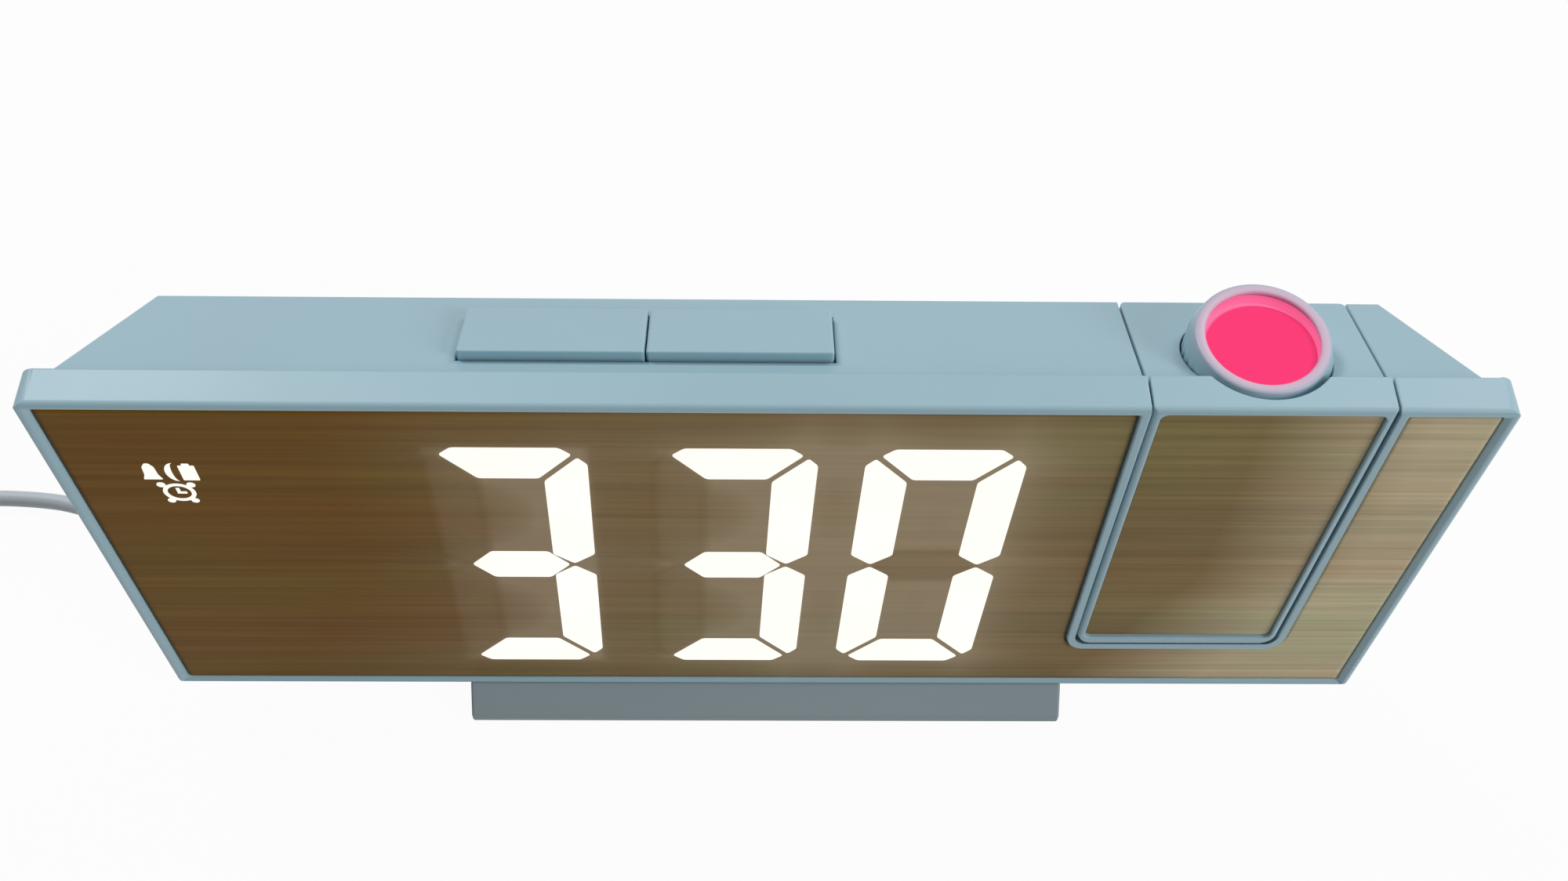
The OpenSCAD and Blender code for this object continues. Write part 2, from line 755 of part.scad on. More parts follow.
// Screw in a hole along y: its head at head_y, its shank towards the front
module screw_y(x, z, head_y, length) {
  difference() {
    bar_y(x, z, head_r, head_y, head_y + head_h - 0.2);
    span([x - head_r, head_y + head_h - 0.7, z - 0.3], [x + head_r, head_y + head_h, z + 0.3]);
    span([x - 0.3, head_y + head_h - 0.7, z - head_r], [x + 0.3, head_y + head_h, z + head_r]);
  }
  bar_y(x, z, screw_r, head_y - length, head_y);
}

module cover_screws() {
  color(steel_grey) at_case() for (p = pillar_spots)
    screw_y(p[0], p[1], case_d - head_h, case_d - head_h - frame_d + screw_bite);
}

module main_board() {
  color(board_green) at_case() difference() {
    span([main_x0, main_y, main_z0], [main_x1, main_back, main_z1]);
    for (p = boss_spots) bar_y(p[0], p[1], screw_r + slip, main_y - cut, main_back + cut);
  }
}

module board_screws() {
  color(steel_grey) at_case() for (p = boss_spots) {
    bar_y(p[0], p[1], head_r, main_y - 1.2, main_y);
    bar_y(p[0], p[1], screw_r, main_y, rear_in);
  }
}

module rear_switches() {
  color(black_plastic) at_case() for (i = [0:4]) difference() {
    span([rear_key_x(i) - switch_w / 2, main_back, rear_key_z - switch_w / 2],
         [rear_key_x(i) + switch_w / 2, main_back + switch_h, rear_key_z + switch_w / 2]);
    bar_y(rear_key_x(i), rear_key_z, switch_bore, main_back + 0.4, main_back + switch_h + cut);
  }
}

// Round cap with a retaining flange and a stem that enters its switch
module rear_key(i) {
  x = rear_key_x(i);
  flange_y = rear_in - slip - key_flange_t;
  color(case_blue) at_case() {
    bar_y(x, rear_key_z, rear_key_r, rear_in - slip, case_d + rear_key_proud);
    bar_y(x, rear_key_z, rear_key_r + key_gap + key_flange, flange_y, rear_in - slip);
    bar_y(x, rear_key_z, stem_r, main_back + switch_h - stem_in, flange_y);
  }
}

module rear_key_1() rear_key(0);
module rear_key_2() rear_key(1);
module rear_key_3() rear_key(2);
module rear_key_4() rear_key(3);
module rear_key_5() rear_key(4);

module key_board() {
  color(board_green) at_case()
    span([-bar_left - bar_w / 2 + 2, key_board_y0, key_board_z],
         [bar_w / 2 - bar_left - 2, key_board_y1, key_board_z + key_board_t]);
}

function top_key_x(i) = -bar_left + (i - 0.5) * bar_w / 2;
top_stem_y = bar_front + bar_d / 2;

module top_switches() {
  color(black_plastic) at_case() for (i = [0, 1]) difference() {
    translate([top_key_x(i), top_stem_y, key_board_z + key_board_t + top_switch_h / 2])
      cube([switch_w, switch_w, top_switch_h], center = true);
    translate([top_key_x(i), top_stem_y, key_board_z + key_board_t + 0.6]) cylinder(h = top_switch_h, r = switch_bore);
  }
}

// Key with its top parallel to the roof, a flange under the roof and a stem to its switch
module top_key(i) {
  inner = bar_w / 2;
  x0 = i == 0 ? -bar_left - inner : -bar_left + slip;
  x1 = i == 0 ? -bar_left - slip : -bar_left + inner;
  y0 = bar_front;
  y1 = bar_front + bar_d;
  f0 = y0 - key_gap - key_flange;
  f1 = y1 + key_gap + key_flange;
  e0 = i == 0 ? key_gap + key_flange : 0;
  e1 = i == 0 ? 0 : key_gap + key_flange;
  under = roof_in + key_gap;
  stem_low = key_board_z + key_board_t + top_switch_h - stem_in;
  color(case_blue) at_case() {
    along_x(x0, x1) polygon([
      [y0, roof_z(y0) - under], [y1, roof_z(y1) - under], [y1, roof_z(y1) + bar_rise], [y0, roof_z(y0) + bar_rise]
    ]);
    along_x(x0 - e0, x1 + e1) polygon([
      [f0, roof_z(f0) - under - key_flange_t], [f1, roof_z(f1) - under - key_flange_t],
      [f1, roof_z(f1) - under], [f0, roof_z(f0) - under]
    ]);
    translate([top_key_x(i), top_stem_y, stem_low])
      cylinder(h = roof_z(top_stem_y) - under - key_flange_t / 2 - stem_low, r = stem_r);
  }
}

module snooze_key() top_key(0);
module light_key() top_key(1);

module buzzer() {
  color(black_plastic) at_case() difference() {
    bar_y(buzzer_x, buzzer_z, buzzer_r, rear_in - buzzer_t, rear_in);
    bar_y(buzzer_x, buzzer_z, 1, rear_in - 1, rear_in + cut);
  }
}

module battery_holder() {
  color(black_plastic) at_case() difference() {
    bar_y(cell_x, cell_z, holder_r, main_back, main_back + holder_t);
    bar_y(cell_x, cell_z, cell_r + slip, main_back + holder_wall, main_back + holder_t + cut);
  }
}

module coin_cell() {
  color(steel_grey) at_case() {
    bar_y(cell_x, cell_z, cell_r, main_back + holder_wall, main_back + holder_wall + cell_t - 0.6);
    bar_y(cell_x, cell_z, cell_r - 1.2, main_back + holder_wall, main_back + holder_wall + cell_t);
  }
}

module battery_door() {
  color(case_blue) at_case() difference() {
    union() {
      span([cell_x - door_w / 2 + slip, case_d - door_t, cell_z - door_w / 2 - door_tab + slip],
           [cell_x + door_w / 2 - slip, case_d, cell_z + door_w / 2 - slip]);
      bar_y(cell_x, cell_z, cell_r - 2, main_back + holder_wall + cell_t + 0.1, case_d - door_t);
    }
    bar_y(cell_x, door_screw_z(), screw_r + slip, case_d - door_t - cut, case_d + cut);
    bar_y(cell_x, door_screw_z(), head_r + slip, case_d - 0.7, case_d + cut);
  }
}

module door_screw() {
  color(steel_grey) at_case() {
    bar_y(cell_x, door_screw_z(), head_r, case_d - 0.7, case_d - 0.1);
    bar_y(cell_x, door_screw_z(), screw_r, rear_in - 0.3, case_d - 0.7);
  }
}

// Metal shell with its tongue, open to the rear
module usb_port() {
  y0 = case_d - usb_l;
  color(steel_grey) at_case() {
    difference() {
      span([usb_x - usb_w / 2, y0, usb_z - usb_h / 2], [usb_x + usb_w / 2, case_d - 0.1, usb_z + usb_h / 2]);
      span([usb_x - usb_w / 2 + usb_skin, y0 + 1, usb_z - usb_h / 2 + usb_skin],
           [usb_x + usb_w / 2 - usb_skin, case_d + cut, usb_z + usb_h / 2 - usb_skin]);
    }
    span([usb_x - 5.5, y0 + 0.5, usb_z + 0.2], [usb_x + 5.5, case_d - 1.6, usb_z + 2]);
  }
}

module power_socket() {
  color(black_plastic) at_case() difference() {
    span([socket_x - socket_w / 2, rear_in - socket_l, socket_z - socket_h / 2],
         [socket_x + socket_w / 2, rear_in, socket_z + socket_h / 2]);
    bar_y(socket_x, socket_z, socket_bore, rear_in - tip_l, rear_in + cut);
  }
}

// ================= stand =================

stand_screw_in = 13;
stand_screw_x = stand_w / 2 - stand_screw_in;
stand_screw_y = 14;
stand_boss_h = 8;
stand_fit = 0.05;
stand_screw_z = 4.4;          // height of the screw head's seat above the table

module stand_bosses() {
  for (s = [-1, 1]) translate([s * stand_screw_x, stand_screw_y, 0]) cylinder(h = floor_z(stand_screw_y) + stand_boss_h, r = pillar_r);
}

module stand_screw_holes() {
  for (s = [-1, 1]) translate([s * stand_screw_x, stand_screw_y, -cut])
    cylinder(h = floor_z(stand_screw_y) + stand_boss_h - 1.4 + cut, r = screw_r + slip / 2);
}

// Low base with a sloping front edge, shaped to the underside of the case
module stand() {
  low = foot_proud - stand_h;
  back = stand_d - stand_front;
  color(stand_blue) at_case() difference() {
    along_x(-stand_w / 2, stand_w / 2) polygon([
      [-stand_front, low], [-stand_front, low + stand_nose], [0, -stand_fit], [frame_d + stand_fit, -stand_fit],
      [frame_d + stand_fit, floor_z(frame_d) - stand_fit], [case_d, floor_z(case_d) - stand_fit], [case_d + 2, floor_z(case_d) - 2.5],
      [back, low + stand_nose], [back, low]
    ]);
    for (s = [-1, 1]) translate([s * stand_screw_x, stand_screw_y, 0]) {
      translate([0, 0, low - cut]) cylinder(h = reach, r = screw_r + slip);
      translate([0, 0, low - cut]) cylinder(h = stand_screw_z - foot_proud + cut, r = head_r + slip);
    }
    for (p = foot_spots) translate([p[0], p[1], low - cut]) cylinder(h = cut + foot_seat, r = foot_r + slip / 2);
  }
}

foot_seat = 0.8;
foot_margin = 1.6;
foot_spots = [
  for (x = [foot_margin + foot_r - stand_w / 2, stand_w / 2 - foot_margin - foot_r],
       y = [foot_margin + foot_r - stand_front, stand_d - stand_front - foot_margin - foot_r]) [x, y]
];

module rubber_feet() {
  color([0.25, 0.26, 0.27]) at_case() for (p = foot_spots)
    translate([p[0], p[1], -stand_h]) cylinder(h = foot_proud + foot_seat, r = foot_r);
}

module stand_screws() {
  color(steel_grey) at_case() for (s = [-1, 1]) translate([s * stand_screw_x, stand_screw_y, stand_screw_z - stand_h]) {
    translate([0, 0, -head_h]) cylinder(h = head_h, r = head_r);
    cylinder(h = stand_h - stand_screw_z + floor_z(stand_screw_y) + stand_boss_h - 2, r = screw_r);
  }
}

// ================= projector block =================

// Inner space of the block
module block_cavity()
  span([block_x() - cavity_w / 2, cavity_y0, cavity_z0 + 2], [block_x() + cavity_w / 2, cavity_y1, cavity_z1]);

// Plan view of the block, its upright edges rounded
module block_plan() {
  translate([block_x() - block_half, edge_r]) square([block_w, case_d - 2 * edge_r]);
  translate([block_x() - block_half + edge_r, 0]) square([block_w - 2 * edge_r, case_d]);
  for (s = [-1, 1], y = [edge_r, case_d - edge_r]) translate([block_x() + s * (block_half - edge_r), y]) circle(edge_r);
}

// Bores for the focus ring and for the lens tube
module ring_well() {
  translate([block_x(), lens_y, ring_z - slip]) cylinder(h = ring_h + reach, r = ring_r + well_gap);
  translate([block_x(), lens_y, tube_z - slip]) cylinder(h = tube_h + 2 * slip, r = tube_r + slip / 2);
}

module block_front() {
  color(case_blue) at_case() difference() {
    union() {
      difference() {
        intersection() {
          block_form(0);
          along_x(-half_w, half_w) frame_side();
          linear_extrude(case_h) block_plan();
        }
        block_cavity();
      }
      for (p = block_screw_spots) bar_y(p[0], p[1], block_boss_r, cavity_y0 - 0.5, frame_d);
    }
    block_panel_form(0, -cut, panel_back);
    ring_well();
    for (p = block_screw_spots) bar_y(p[0], p[1], screw_r + slip / 2, cavity_y0, frame_d + cut);
  }
}

// Round-bottomed outline of the block's panel and of its recess
module block_panel_form(inset, y0, y1) {
  w = block_w - 2 * block_lip - 2 * inset;
  z0 = block_toe + block_lip + 0.6 + inset;
  z1 = case_h - block_lip - inset;
  along_y(y0, y1) translate([block_x(), (z0 + z1) / 2]) round_rect(w, z1 - z0, block_panel_r - inset);
}

module block_panel() {
  color(wood_brown) at_case() block_panel_form(panel_gap / 2, panel_recess, panel_back);
}

block_screw_in = 3;
block_boss_r = 2.6;
block_screw_spots = [
  for (s = [-1, 1]) [block_x() + s * (block_half - block_screw_in), ring_z - 6],
  [block_x() - block_half + block_screw_in + 2, cavity_z0 + 3.4],
  [block_x() + block_half - block_screw_in - 2, cavity_z0 + 3.4]
];

module block_rear() {
  color(case_blue) at_case() difference() {
    union() {
      difference() {
        intersection() {
          block_form(0);
          linear_extrude(case_h) block_plan();
          along_x(-half_w, half_w)
            polygon([[frame_d, 0], [case_d, 0], [case_d, roof_z(case_d)], [frame_d, roof_z(frame_d)]]);
        }
        block_cavity();
      }
      intersection() {
        block_form(0);
        union() {
          for (p = block_screw_spots) bar_y(p[0], p[1], block_boss_r, frame_d, cavity_y1 + 0.5);
          engine_shelf();
        }
      }
      tilt_pins();
    }
    ring_well();
    bar_x(pivot_y, pivot_z, pin_bore_r, block_x() - block_half - 8, block_x() - cavity_w / 2 + cut);
    for (p = block_screw_spots) {
      bar_y(p[0], p[1], screw_r + slip, frame_d - cut, case_d + cut);
      bar_y(p[0], p[1], head_r + slip, case_d - head_h - 2, case_d + cut);
    }
    barrel_key(slip);
  }
}

// Shelves at both sides that carry the projector's board
module engine_shelf() {
  for (s = [0, 1]) mirror([s, 0, 0]) translate([s ? -block_x() : block_x(), 0, 0])
    span([cavity_w / 2 - 3.5, frame_d, engine_z - shelf_h], [cavity_w / 2 + 0.5, cavity_y1 + 0.5, engine_z]);
}

// Two short pins, each with a groove for its clip
module tilt_pins() {
  inner = cavity_w / 2;
  outer = block_half + notch_gap + cheek + washer_t + pin_fit;
  groove = clip_t + 0.1;
  for (s = [-1, 1]) translate([block_x(), pivot_y, pivot_z]) rotate([0, s * 90, 0]) {
    translate([0, 0, inner]) cylinder(h = outer - inner, r = pin_r);
    translate([0, 0, inner]) cylinder(h = outer - inner + groove, r = groove_r);
    translate([0, 0, outer + groove]) cylinder(h = 0.7, r = pin_r);
  }
}

// Friction washers between the cheeks and the clips
module tilt_washers() {
  inner = notch_half() + cheek;
  color(black_plastic) at_case() for (s = [-1, 1]) translate([block_x(), pivot_y, pivot_z]) rotate([0, s * 90, 0])
    translate([0, 0, inner]) difference() {
      cylinder(h = washer_t, r = washer_r);
      translate([0, 0, -cut]) cylinder(h = washer_t + 2 * cut, r = pin_r + pin_fit);
    }
}

// Spring clips in the pins' grooves
module tilt_clips() {
  inner = notch_half() + cheek + washer_t + pin_fit + 0.05;
  color(steel_grey) at_case() for (s = [-1, 1]) translate([block_x(), pivot_y, pivot_z]) rotate([0, s * 90, 0])
    translate([0, 0, inner]) difference() {
      cylinder(h = clip_t, r = clip_r);
      translate([0, 0, -cut]) cylinder(h = clip_t + 2 * cut, r = groove_r + 0.02);
    }
}

module block_screws() {
  color(steel_grey) at_case() for (p = block_screw_spots)
    screw_y(p[0], p[1], case_d - head_h - 2, case_d - head_h - 2 - cavity_y0 - 0.6);
}

// Wires from the main board to the projector, led through the left tilt pin
module pivot_wires() {
  color("firebrick") at_case()
    bar_x(pivot_y, pivot_z, pin_bore_r - 0.3, block_x() - block_half - 6.5, block_x() - cavity_w / 2 + 2);
}

module projector_board() {
  color(board_green) at_case()
    span([block_x() - cavity_w / 2 + 0.2, cavity_y0 + 3.4, engine_z], [block_x() + cavity_w / 2 - 0.2, cavity_y1 - 0.2, engine_z + engine_board_t]);
}

module projector_led() {
  color("lightyellow") at_case() translate([block_x(), lens_y, box_z]) {
    translate([0, 0, 0.5]) cube([5, 5, 1], center = true);
    translate([0, 0, 1]) intersection() {
      sphere(2);
      cylinder(h = 2, r = 2);
    }
  }
}

// Square tunnel that holds the condenser lens and the display slide
module light_box() {
  color(black_plastic) at_case() translate([block_x(), lens_y, 0]) difference() {
    translate([0, 0, box_z + box_h / 2]) cube([box_w, box_w, box_h], center = true);
    translate([0, 0, box_z]) cube([box_w - 2 * box_wall, box_w - 2 * box_wall, 2 * (condenser_z - box_z)], center = true);
    translate([0, 0, box_z - cut]) cylinder(h = box_h + 2 * cut, r = condenser_r - 0.6);
    translate([0, 0, condenser_z]) cylinder(h = box_h, r = condenser_r + slip / 2);
    translate([0, 0, slide_z + box_h / 2]) cube([box_w - 2 * box_wall, box_w - 2 * box_wall, box_h], center = true);
  }
}

// Half-round lens, flat side down
module condenser_lens() {
  dome = (pow(condenser_r, 2) + pow(condenser_t - 1, 2)) / (2 * (condenser_t - 1));
  color([0.8, 0.9, 1, 0.5]) at_case() translate([block_x(), lens_y, condenser_z]) intersection() {
    cylinder(h = condenser_t, r = condenser_r);
    translate([0, 0, condenser_t - dome]) sphere(dome);
  }
}

module display_slide() {
  w = box_w - 2 * box_wall - 2 * slip;
  color([0.15, 0.12, 0.2]) at_case() translate([block_x() - w / 2, lens_y - w / 2, slide_z]) cube([w, w, slide_t]);
}

// Fixed tube that guides the lens barrel
module lens_tube() {
  color(black_plastic) at_case() difference() {
    translate([block_x(), lens_y, tube_z]) cylinder(h = tube_h, r = tube_r);
    translate([block_x(), lens_y, tube_z - cut]) cylinder(h = tube_h + 2 * cut, r = tube_bore);
    barrel_key(slip);
  }
}

// Rib at the barrel's back, and with room the slot that it slides in
module barrel_key(room) {
  w = key_w + 2 * room;
  z0 = room > 0 ? tube_z - cut : barrel_top - barrel_h;
  z1 = room > 0 ? ring_z : ring_z - 2;
  span([block_x() - w / 2, lens_y + barrel_r - 0.5, z0], [block_x() + w / 2, lens_y + tube_bore + key_h - 0.2 + room, z1]);
}

// Sleeve that turns about the lens axis, with grip flutes round its rim
module focus_ring() {
  flutes = 36;
  round_r = 0.5;
  lip_t = 0.7;
  grip_h = ring_h - 2.4;
  brow_r = ring_r - 0.65;
  color(case_blue) at_case() translate([block_x(), lens_y, ring_z]) difference() {
    rotate_extrude() {
      polygon([[ring_bore, 0], [ring_r, 0], [ring_r, grip_h], [brow_r, ring_h - round_r], [ring_bore, ring_h - round_r]]);
      translate([ring_eye + lip_t / 2, ring_h - lip_t]) square([brow_r - round_r - ring_eye - lip_t / 2, lip_t]);
      translate([brow_r - round_r, ring_h - round_r]) circle(round_r);
      translate([ring_eye + lip_t / 2, ring_h - lip_t / 2]) circle(lip_t / 2);
    }
    for (i = [0:flutes - 1]) rotate(i * 360 / flutes) translate([ring_r + 0.25, 0, -cut]) cylinder(h = ring_h - 2, r = 0.45);
  }
}

module lens_barrel() {
  color(lens_pink) at_case() {
    difference() {
      translate([block_x(), lens_y, barrel_top - barrel_h]) cylinder(h = barrel_h, r = barrel_r);
      translate([block_x(), lens_y, lens_top - lens_t]) cylinder(h = barrel_h, r = lens_r);
      translate([block_x(), lens_y, barrel_top - barrel_h - cut]) cylinder(h = barrel_h + 2 * cut, r = lens_r - 1);
    }
    difference() {
      barrel_key(0);
      translate([block_x(), lens_y, tube_z]) cylinder(h = tube_h + ring_h, r = barrel_r - 0.2);
    }
  }
}

// Lens with a domed top and a flat underside
module projection_lens() {
  crown = lens_t - lens_edge;
  dome = (pow(lens_r, 2) + pow(crown, 2)) / (2 * crown);
  color(lens_pink) at_case() translate([block_x(), lens_y, lens_top - lens_t]) intersection() {
    cylinder(h = lens_t, r = lens_r - 0.02);
    translate([0, 0, lens_t - dome]) sphere(dome);
  }
}

// ================= power lead =================

module power_plug() {
  color(lead_grey) at_case() bar_y(socket_x, socket_z, plug_r, rear_in + 0.1, case_d + plug_l);
}

module plug_tip() {
  color("silver") at_case() bar_y(socket_x, socket_z, tip_r, rear_in - tip_l + 0.5, rear_in + 0.1);
}

module plug_sleeve() {
  color(lead_grey) at_case() translate([socket_x, case_d + plug_l, socket_z]) rotate([-90, 0, 0]) difference() {
    cylinder(h = sleeve_l, r1 = sleeve_r0, r2 = sleeve_r1);
    for (i = [1:4]) translate([0, 0, i * sleeve_l / 5 - 0.4]) difference() {
      cylinder(h = 0.8, r = sleeve_r0 + cut);
      translate([0, 0, -cut]) cylinder(h = 3 * cut, r = sleeve_r1 - 0.3);
    }
  }
}

function unit(v) = v / norm(v);
function heading(path, i) = i == 0 ? unit(path[1] - path[0])
  : i == len(path) - 1 ? unit(path[i] - path[i - 1])
  : unit(unit(path[i + 1] - path[i]) + unit(path[i] - path[i - 1]));
function ring_points(centre, along) =
  let(a = unit(cross(along, [0, 0, 1])), b = cross(a, along), turn = 360 / lead_sides)
  [for (k = [0:lead_sides - 1]) centre + lead_d / 2 * (cos(turn * (k + 0.5)) * a + sin(turn * (k + 0.5)) * b)];

// Tube swept along a path, ring by ring
module tube(path) {
  n = len(path);
  s = lead_sides;
  points = [for (i = [0:n - 1]) each ring_points(path[i], heading(path, i))];
  walls = [for (i = [0:n - 2], k = [0:s - 1]) let(a = i * s + k, b = i * s + (k + 1) % s)
    each [[a, b, b + s], [a, b + s, a + s]]];
  caps = [[for (k = [s - 1:-1:0]) k], [for (k = [0:s - 1]) (n - 1) * s + k]];
  polyhedron(points, concat(walls, caps));
}

module lead() {
  color(lead_grey) tube(route);
}

module lead_end() {
  color(lead_grey) tube(end_route);
}

module lead_coil() {
  corner = lead_d / 2;
  color(lead_grey) translate([coil_x, coil_y, 0]) rotate_extrude() {
    translate([coil_r - coil_w / 2 + corner, 0]) square([coil_w - 2 * corner, coil_h]);
    translate([coil_r - coil_w / 2, corner]) square([coil_w, coil_h - 2 * corner]);
    for (x = [-1, 1], z = [corner, coil_h - corner]) translate([coil_r + x * (coil_w / 2 - corner), z]) circle(corner);
  }
}

// Band round the coil's turns, on the side towards the clock, pressed flat under them
module coil_tie() {
  color(black_plastic) translate([coil_x, coil_y, 0]) difference() {
    span([coil_r - coil_w / 2 - tie_t, -tie_w / 2, 0], [coil_outer + tie_t, tie_w / 2, coil_h + tie_t]);
    translate([0, 0, tie_t / 2]) difference() {
      cylinder(h = coil_h - tie_t / 2 + 0.02, r = coil_outer + 0.05);
      translate([0, 0, -cut]) cylinder(h = coil_h + 4 * cut, r = coil_r - coil_w / 2 - 0.05);
    }
  }
}

module usb_plug() {
  color(lead_grey)
    span([usb_plug_x - usb_plug_l / 2, usb_plug_y, 0], [usb_plug_x + usb_plug_l / 2, usb_plug_y + usb_plug_w, usb_plug_h]);
}

module usb_plug_shell() {
  x1 = usb_plug_x - usb_plug_l / 2;
  x0 = x1 - usb_shell_l;
  y0 = usb_plug_y + (usb_plug_w - usb_shell_w) / 2;
  z0 = (usb_plug_h - usb_shell_h) / 2;
  color("silver") difference() {
    span([x0, y0, z0], [x1, y0 + usb_shell_w, z0 + usb_shell_h]);
    span([x0 - cut, y0 + 0.4, z0 + 2.2], [x1 - 1, y0 + usb_shell_w - 0.4, z0 + usb_shell_h - 0.4]);
  }
}

// ================= nodes =================

front_frame();
wood_panel();
diffuser_film();
digit_reflector();
digit_diffusers();
indicator_block();
indicator_diffusers();
display_board();
led_chips();
board_connector();
rear_cover();
cover_screws();
main_board();
board_screws();
rear_switches();
key_board();
top_switches();
buzzer();
battery_holder();
coin_cell();
battery_door();
door_screw();
usb_port();
power_socket();
stand();
stand_screws();
rubber_feet();
snooze_key();
light_key();
rear_key_1();
rear_key_2();
rear_key_3();
rear_key_4();
rear_key_5();
block_front();
block_rear();
block_panel();
block_screws();
tilt_washers();
tilt_clips();
pivot_wires();
projector_board();
projector_led();
light_box();
condenser_lens();
display_slide();
lens_tube();
focus_ring();
lens_barrel();
projection_lens();
power_plug();
plug_tip();
plug_sleeve();
lead();
lead_coil();
coil_tie();
lead_end();
usb_plug();
usb_plug_shell();
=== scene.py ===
"""The looks of a projection alarm clock: wood-grain front with lit digits, tilting projector and power lead.

Lengths are in metres. The case frame has x to the right, y from the front face to the back and z from the
case's lower edge; at() turns it into the part's own frame.
"""

import json
import math

import bmesh
import bpy
import numpy as np
from mathutils import Matrix, Vector


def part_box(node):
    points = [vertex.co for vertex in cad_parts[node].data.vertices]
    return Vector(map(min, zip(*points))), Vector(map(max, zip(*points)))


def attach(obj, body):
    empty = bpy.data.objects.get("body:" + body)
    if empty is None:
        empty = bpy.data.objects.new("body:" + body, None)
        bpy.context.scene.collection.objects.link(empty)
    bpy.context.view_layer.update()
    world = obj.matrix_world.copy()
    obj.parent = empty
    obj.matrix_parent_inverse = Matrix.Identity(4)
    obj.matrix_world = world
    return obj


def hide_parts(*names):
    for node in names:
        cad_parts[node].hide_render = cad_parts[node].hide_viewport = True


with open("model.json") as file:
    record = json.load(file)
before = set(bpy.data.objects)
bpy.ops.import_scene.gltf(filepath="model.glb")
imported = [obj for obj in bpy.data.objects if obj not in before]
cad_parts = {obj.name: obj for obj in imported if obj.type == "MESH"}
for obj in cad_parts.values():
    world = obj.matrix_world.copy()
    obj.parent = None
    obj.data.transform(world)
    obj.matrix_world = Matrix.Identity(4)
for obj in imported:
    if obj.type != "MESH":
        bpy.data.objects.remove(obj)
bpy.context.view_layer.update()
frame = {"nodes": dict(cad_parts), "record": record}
MM = 0.001

# ---- the case, from the frame
case_low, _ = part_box("front_frame")
panel_low, panel_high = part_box("wood_panel")
digits_low, digits_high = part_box("digit_diffusers")
ring_low, ring_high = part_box("focus_ring")
lens_low, lens_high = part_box("projection_lens")
tile_low, tile_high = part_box("block_panel")
coil_low, coil_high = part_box("lead_coil")
sleeve_low, sleeve_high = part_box("plug_sleeve")
face_y = case_low.y
foot_z = case_low.z


def at(x, y, z):
    """Points of the case frame, in metres, as rows of points in the part's own frame."""
    x, y, z = np.broadcast_arrays(x, y, z)
    return np.stack([x, y + face_y, z + foot_z], axis=-1)


# ================= camera =================

camera_place = (-0.002776, -0.142161, 0.269465)
camera_pitch, camera_yaw, camera_roll = 56.538, 1.9585, 1.935  # degrees
camera_lens, camera_sensor = 40.32, 36  # millimetres, as Blender's camera takes them


def add_camera():
    """The camera: it looks down by pitch and sideways by yaw, then turns about its own axis by roll."""
    pitch, yaw, roll = np.radians([camera_pitch, camera_yaw, camera_roll])
    ahead = np.array([math.sin(yaw) * math.cos(pitch), math.cos(yaw) * math.cos(pitch), -math.sin(pitch)])
    level = np.array([math.cos(yaw), -math.sin(yaw), 0])
    raised = np.cross(level, ahead)
    right = math.cos(roll) * level + math.sin(roll) * raised
    up = math.cos(roll) * raised - math.sin(roll) * level
    data = bpy.data.cameras.new("camera")
    data.lens = camera_lens
    data.sensor_width = camera_sensor
    data.clip_start = 0.01
    data.clip_end = 20
    made = bpy.data.objects.new("camera", data)
    bpy.context.scene.collection.objects.link(made)
    turn = Matrix([list(row) for row in np.stack([right, up, -ahead], axis=1)]).to_4x4()
    made.matrix_world = Matrix.Translation(camera_place) @ turn
    bpy.context.scene.camera = made


# ================= meshes =================

grid_merge = 1e-6  # points of a worked-out piece that are nearer than this are one
node_merge = 2e-6  # and so are points of a CAD node


def grid_faces(rows, columns, around=False):
    """Quads of a grid whose points are numbered row by row; around joins each row's end to its start."""
    r = np.arange(rows - 1)[:, None]
    c = np.arange(columns if around else columns - 1)[None, :]
    n = (c + 1) % columns
    return np.stack([r * columns + c, r * columns + n, (r + 1) * columns + n, (r + 1) * columns + c],
                    axis=-1).reshape(-1, 4)


def piece(name, points, faces, material, body, replaces=(), sharp=35):
    """A new piece from its points and faces, in the part's own frame, smooth but for edges over that many
    degrees."""
    mesh = bpy.data.meshes.new(name)
    mesh.from_pydata(np.asarray(points).reshape(-1, 3).tolist(), [], [list(map(int, f)) for f in faces])
    return settle(name, mesh, material, body, replaces, sharp)


def settle(name, mesh, material, body, replaces=(), sharp=35):
    """Puts a mesh into the scene on its body, with its material and its shading."""
    mesh.materials.clear()
    mesh.materials.append(material)
    mesh.validate()
    mesh.shade_smooth()
    mesh.set_sharp_from_angle(angle=math.radians(sharp))
    made = bpy.data.objects.new(name, mesh)
    bpy.context.scene.collection.objects.link(made)
    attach(made, body)
    if replaces:
        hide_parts(*replaces)
    return made


def lathe(profile, centre, sides):
    """A surface of revolution about an upright axis: the profile's radius and height, turned through a full
    circle in equal steps. A radius of 0 at either end closes it with a pole."""
    radius, height = np.asarray(profile, float).T
    angle = np.arange(sides) * 2 * np.pi / sides
    x = centre[0] + radius[:, None] * np.cos(angle)
    y = centre[1] + radius[:, None] * np.sin(angle)
    z = np.broadcast_to(height[:, None], x.shape)
    return np.stack([x, y, z], axis=-1)


def close_poles(mesh_object):
    """Merges the points that lie on one another, and turns all faces outwards."""
    bm = bmesh.new()
    bm.from_mesh(mesh_object.data)
    bmesh.ops.remove_doubles(bm, verts=bm.verts, dist=grid_merge)
    bmesh.ops.recalc_face_normals(bm, faces=bm.faces)
    bm.to_mesh(mesh_object.data)
    bm.free()


